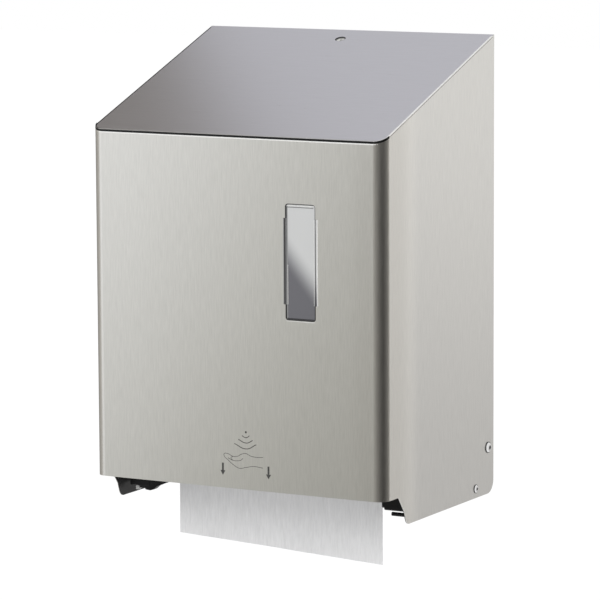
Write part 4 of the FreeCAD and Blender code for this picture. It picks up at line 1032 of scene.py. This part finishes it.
def makeWindowSurround(w):
    low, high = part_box("level_window")
    middle = (low.x + high.x) / 2
    wide, bottom, top = w["slot"]
    half = wide / 2 - w["slotShadeInset"]
    loop = windowLoop(middle - half, middle + half, panelLow + bottom + w["slotShadeInset"],
                      panelLow + top + w["slotShadeTop"], frontY + w["slotShadeSunk"], w)
    thinnest, thinner = w["thin"]
    widths = [thinnest] * 4 + [thinner] * 6 + [1.0] * (len(loop) - 11) + [thinnest]
    slotShade = drawRod("windowSlotShade", loop, w["slotShade"], widths=widths)
    smoothIt(slotShade, 60)
    dress(slotShade, "partBlack", "black_plastic", "hood")

    def drawLines(lines):
        made = []
        for *ends, behind, radius in lines:
            y = frontY + behind * mm
            path = [Vector((middle + x * mm, y, panelLow + height * mm)) for x, height in ends]
            made.append(drawRod("line", path, radius * mm))
        return made

    dress(joinAll(drawLines(w["dark"]), "windowShadeLines"), "partBlack", "black_plastic", "hood")
    dress(joinAll(drawLines(w["bright"]), "windowGleams"), "paleFinishAndHighlight", "hood_steel", "hood")


makeWindowSurround(surround)
print("window surround made")


# Domed screws with a hexagon socket, on both sides of the hood, with painted shade: a dark ring round each
# head and a dark hexagon in the socket
hoodScrews = {
    "hood_stop_screws": {"body": "hood", "radius": 0.0046, "dome": 0.0019, "shadeRing": 0.0052,
                         "socket": 0.0021},
    "hood_pivot_screws": {"body": "housing", "radius": 0.0036, "dome": 0.0012, "shadeRing": 0.0040,
                          "socket": 0.0015},
}
screwShape = {
    "lift": 0.0004,
    "cutter": 0.004,
    "cutTo": 0.45,  # the socket's bottom, as a share of the dome
    # The dark hexagon is painted shade at the socket's bottom
    "floor": 0.5,  # the dark hexagon in the socket, likewise
    "floorFit": 0.99,
    "shadeRingThick": 0.0005,
    "shadeRingMiddle": 0.0003,
}


def makeDomedScrews(node, h, s):
    low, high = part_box(node)
    radius, dome, socket = h["radius"], h["dome"], h["socket"]
    heads, shadeMarks = [], []
    for side in (-1, 1):
        turn = (0, side * math.pi / 2, 0)

        def place(out):
            return (side * (hoodHigh.x + out), (low.y + high.y) / 2, (low.z + high.z) / 2)

        bpy.ops.mesh.primitive_uv_sphere_add(segments=36, ring_count=18, radius=1.0,
                                             location=place(s["lift"]), rotation=turn)
        head = bpy.context.object
        head.scale = (radius, radius, dome)
        bpy.ops.object.transform_apply()
        cutAway(head, addCylinder(6, socket, s["cutter"], place(dome * s["cutTo"] + s["cutter"] / 2), turn))
        heads.append(head)
        shadeMarks.append(addCylinder(40, h["shadeRing"], s["shadeRingThick"], place(s["shadeRingMiddle"]), turn))
        floor = dome * s["floor"]
        shadeMarks.append(addCylinder(6, socket * s["floorFit"], floor, place(floor / 2), turn))
    whole = joinAll(heads, node + "Domed")
    smoothIt(whole, 40)
    dress(whole, "smoothChrome", "screw_steel", h["body"], node)
    dress(joinAll(shadeMarks, node + "ShadeMarks"), "partBlack", "black_plastic", h["body"])


for node, settings in hoodScrews.items():
    makeDomedScrews(node, settings, screwShape)
print("hood screws made")


# Small pan screws, all on the housing: the head's radius, its places, and the way it looks
panScrews = {
    "coverScrews": {
        "radius": 0.0030,
        "places": [((side * 0.1413, y, z), (side, 0, 0)) for side in (-1, 1)
                   for y, z in ((-0.068, -0.165), (-0.068, -0.252), (-0.158, -0.165))],
    },
    "boardScrews": {
        "radius": 0.0024,
        "places": [((x, -0.0109, z), (0, -1, 0)) for x in (0.0355, 0.1045) for z in (-0.2045, -0.1355)],
    },
    "armScrews": {
        "radius": 0.0034,
        "places": [((side * 0.0935, -0.00375, z), (0, -1, 0)) for side in (-1, 1) for z in (-0.017, 0.007)],
    },
}
panShape = {"tall": 0.55, "slotSize": (1.1, 0.24, 0.6), "slotOut": 0.62}  # shares of the head's radius


def makePanScrews(name, p, s):
    radius = p["radius"]
    heads = []
    for place, way in p["places"]:
        turn = Vector(way).to_track_quat("Z", "Y").to_euler()
        bpy.ops.mesh.primitive_uv_sphere_add(segments=28, ring_count=14, radius=1.0,
                                             location=place, rotation=turn)
        head = bpy.context.object
        head.scale = (radius, radius, radius * s["tall"])
        bpy.ops.object.transform_apply()
        for turned in (0, math.pi / 2):
            out = Vector(way) * radius * s["slotOut"]
            bpy.ops.mesh.primitive_cube_add(size=1.0, location=Vector(place) + out, rotation=turn)
            slot = bpy.context.object
            slot.scale = [radius * part for part in s["slotSize"]]
            slot.rotation_euler.rotate_axis("Z", turned)
            bpy.ops.object.transform_apply()
            cutAway(head, slot)
        heads.append(head)
    whole = joinAll(heads, name)
    smoothIt(whole)
    dress(whole, "polishedMetal", "screw_steel", "housing")


for name, settings in panScrews.items():
    makePanScrews(name, settings, panShape)
print("pan screws made")


# Wound springs in place of the plain sleeves: two along x at the ends of their pin, one upright
springs = {
    "pinch_springs": {"wire": 0.00042, "turns": 7, "legs": 0.010, "length": 0.008},
    "arm_spring": {"wire": 0.00052, "turns": 13, "legs": 0.008},
}
coilSteps = 12


def coilPoints(place, start, end, c):
    points = []
    steps = c["turns"] * coilSteps
    for step in range(steps + 1):
        turn = 2 * math.pi * step / coilSteps
        points.append(place(start + (end - start) * step / steps, math.cos(turn), math.sin(turn)))
    first = points[0] + (points[0] - points[1]).normalized() * c["legs"]
    last = points[-1] + (points[-1] - points[-2]).normalized() * c["legs"]
    return [first] + points + [last]


def makeSprings(node, c):
    low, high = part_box(node)
    middle = (low + high) / 2
    wire = c["wire"]
    if "length" in c:
        radius = (high.z - low.z) / 2 - wire
        ends = [(side * (high.x - c["length"] + wire), side * (high.x - wire)) for side in (-1, 1)]
    else:
        radius = (high.x - low.x) / 2 - wire
        ends = [(low.z + wire, high.z - wire)]

    def place(along, cosine, sine):
        if "length" in c:
            return Vector((along, middle.y + radius * cosine, middle.z + radius * sine))
        return Vector((middle.x + radius * cosine, middle.y + radius * sine, along))

    coils = [drawRod("coil", coilPoints(place, start, end, c), wire, "AUTO", 2, 6) for start, end in ends]
    whole = joinAll(coils, node + "Wound")
    smoothIt(whole, 60)
    dress(whole, "springSteel", "spring_steel", "housing", node)


for node, settings in springs.items():
    makeSprings(node, settings)
print("springs wound")


# Small parts on the control board: capacitors, the chip's legs, and rows of resistors
boardParts = {
    "face": -0.0109,
    "capacitors": [(0.040, -0.152, 0.0042, 0.0095), (0.040, -0.1625, 0.0042, 0.0095),
                   (0.094, -0.1880, 0.0032, 0.0070)],
    "vent": (0.8, 0.0002),  # bare top of a capacitor: share of the can's radius, and its height over it
    "chip": (0.070, -0.170, 0.0070),
    "legs": 7,
    "legPitch": 0.00175,
    "legSize": (0.0016, 0.0005, 0.0007),
    "resistors": [(0.0500 + 0.0042 * column, z) for z in (-0.1850, -0.1890) for column in range(9)],
    "resistorSize": (0.0016, 0.0006, 0.0010),
    "resistorEnd": 0.0004,
    "endProud": (1.1, 1.04),
    "blockEdge": 0.2,
    "canEdge": 0.16,
}


def addBlock(middle, size, share):
    bpy.ops.mesh.primitive_cube_add(size=1.0, location=middle)
    made = bpy.context.object
    made.scale = size
    bpy.ops.object.transform_apply()
    applyModifier(made, "BEVEL", width=min(size) * share, segments=1)
    return made


def addCan(x, z, radius, height, b):
    made = addCylinder(36, radius, height, (x, b["face"] - height / 2, z), (math.pi / 2, 0, 0))
    bpy.ops.object.transform_apply()
    applyModifier(made, "BEVEL", width=min(radius, height) * b["canEdge"], segments=3, limit_method="ANGLE")
    return made


def makeBoardParts(b):
    face, share = b["face"], b["blockEdge"]
    cans, metal, black = [], [], []
    for x, z, radius, height in b["capacitors"]:
        cans.append(addCan(x, z, radius, height, b))
        metal.append(addCan(x, z, radius * b["vent"][0], height + b["vent"][1], b))
    x, z, half = b["chip"]
    out, tall = half + b["legSize"][0] / 2, b["legSize"][1]
    for number in range(b["legs"]):
        along = (number - (b["legs"] - 1) / 2) * b["legPitch"]
        metal += [addBlock((x + side * out, face - tall / 2, z + along), b["legSize"], share)
                  for side in (-1, 1)]
    long, tall, wide = b["resistorSize"]
    ends = (b["resistorEnd"], tall * b["endProud"][0], wide * b["endProud"][1])
    for x, z in b["resistors"]:
        black.append(addBlock((x, face - tall / 2, z), b["resistorSize"], share))
        metal += [addBlock((x + side * long / 2, face - tall / 2, z), ends, share) for side in (-1, 1)]
    whole = joinAll(cans, "boardCapacitors")
    smoothIt(whole)
    dress(whole, "cellWrap", "cell_wrap", "housing")
    whole = joinAll(metal, "boardMetal")
    smoothIt(whole)
    dress(whole, "polishedMetal", "contact_metal", "housing")
    dress(joinAll(black, "boardResistors"), "partBlack", "black_plastic", "housing")


makeBoardParts(boardParts)
print("board parts made")


# Black latch under the left end cover's front corner, beside the feed button
latch = {
    "outline": [(-0.1322, -0.2665), (-0.1322, -0.2688), (-0.1266, -0.2685), (-0.1255, -0.2703),
                (-0.1207, -0.2708), (-0.1170, -0.2696), (-0.1132, -0.2664), (-0.1068, -0.2636),
                (-0.1015, -0.2617), (-0.1015, -0.259), (-0.1322, -0.259)],
    "front": -0.1672,
    "rear": -0.1600,
    "bevel": 0.0005,
}


def makeLatch(l):
    corners = [(x, l["front"], z) for x, z in l["outline"]]
    made = drawOutline("leftLatch", corners, l["rear"] - l["front"])
    applyModifier(made, "BEVEL", width=l["bevel"], segments=2)
    smoothIt(made)
    dress(made, "blackPlastic", "black_plastic", "housing")


makeLatch(latch)
print("latch made")
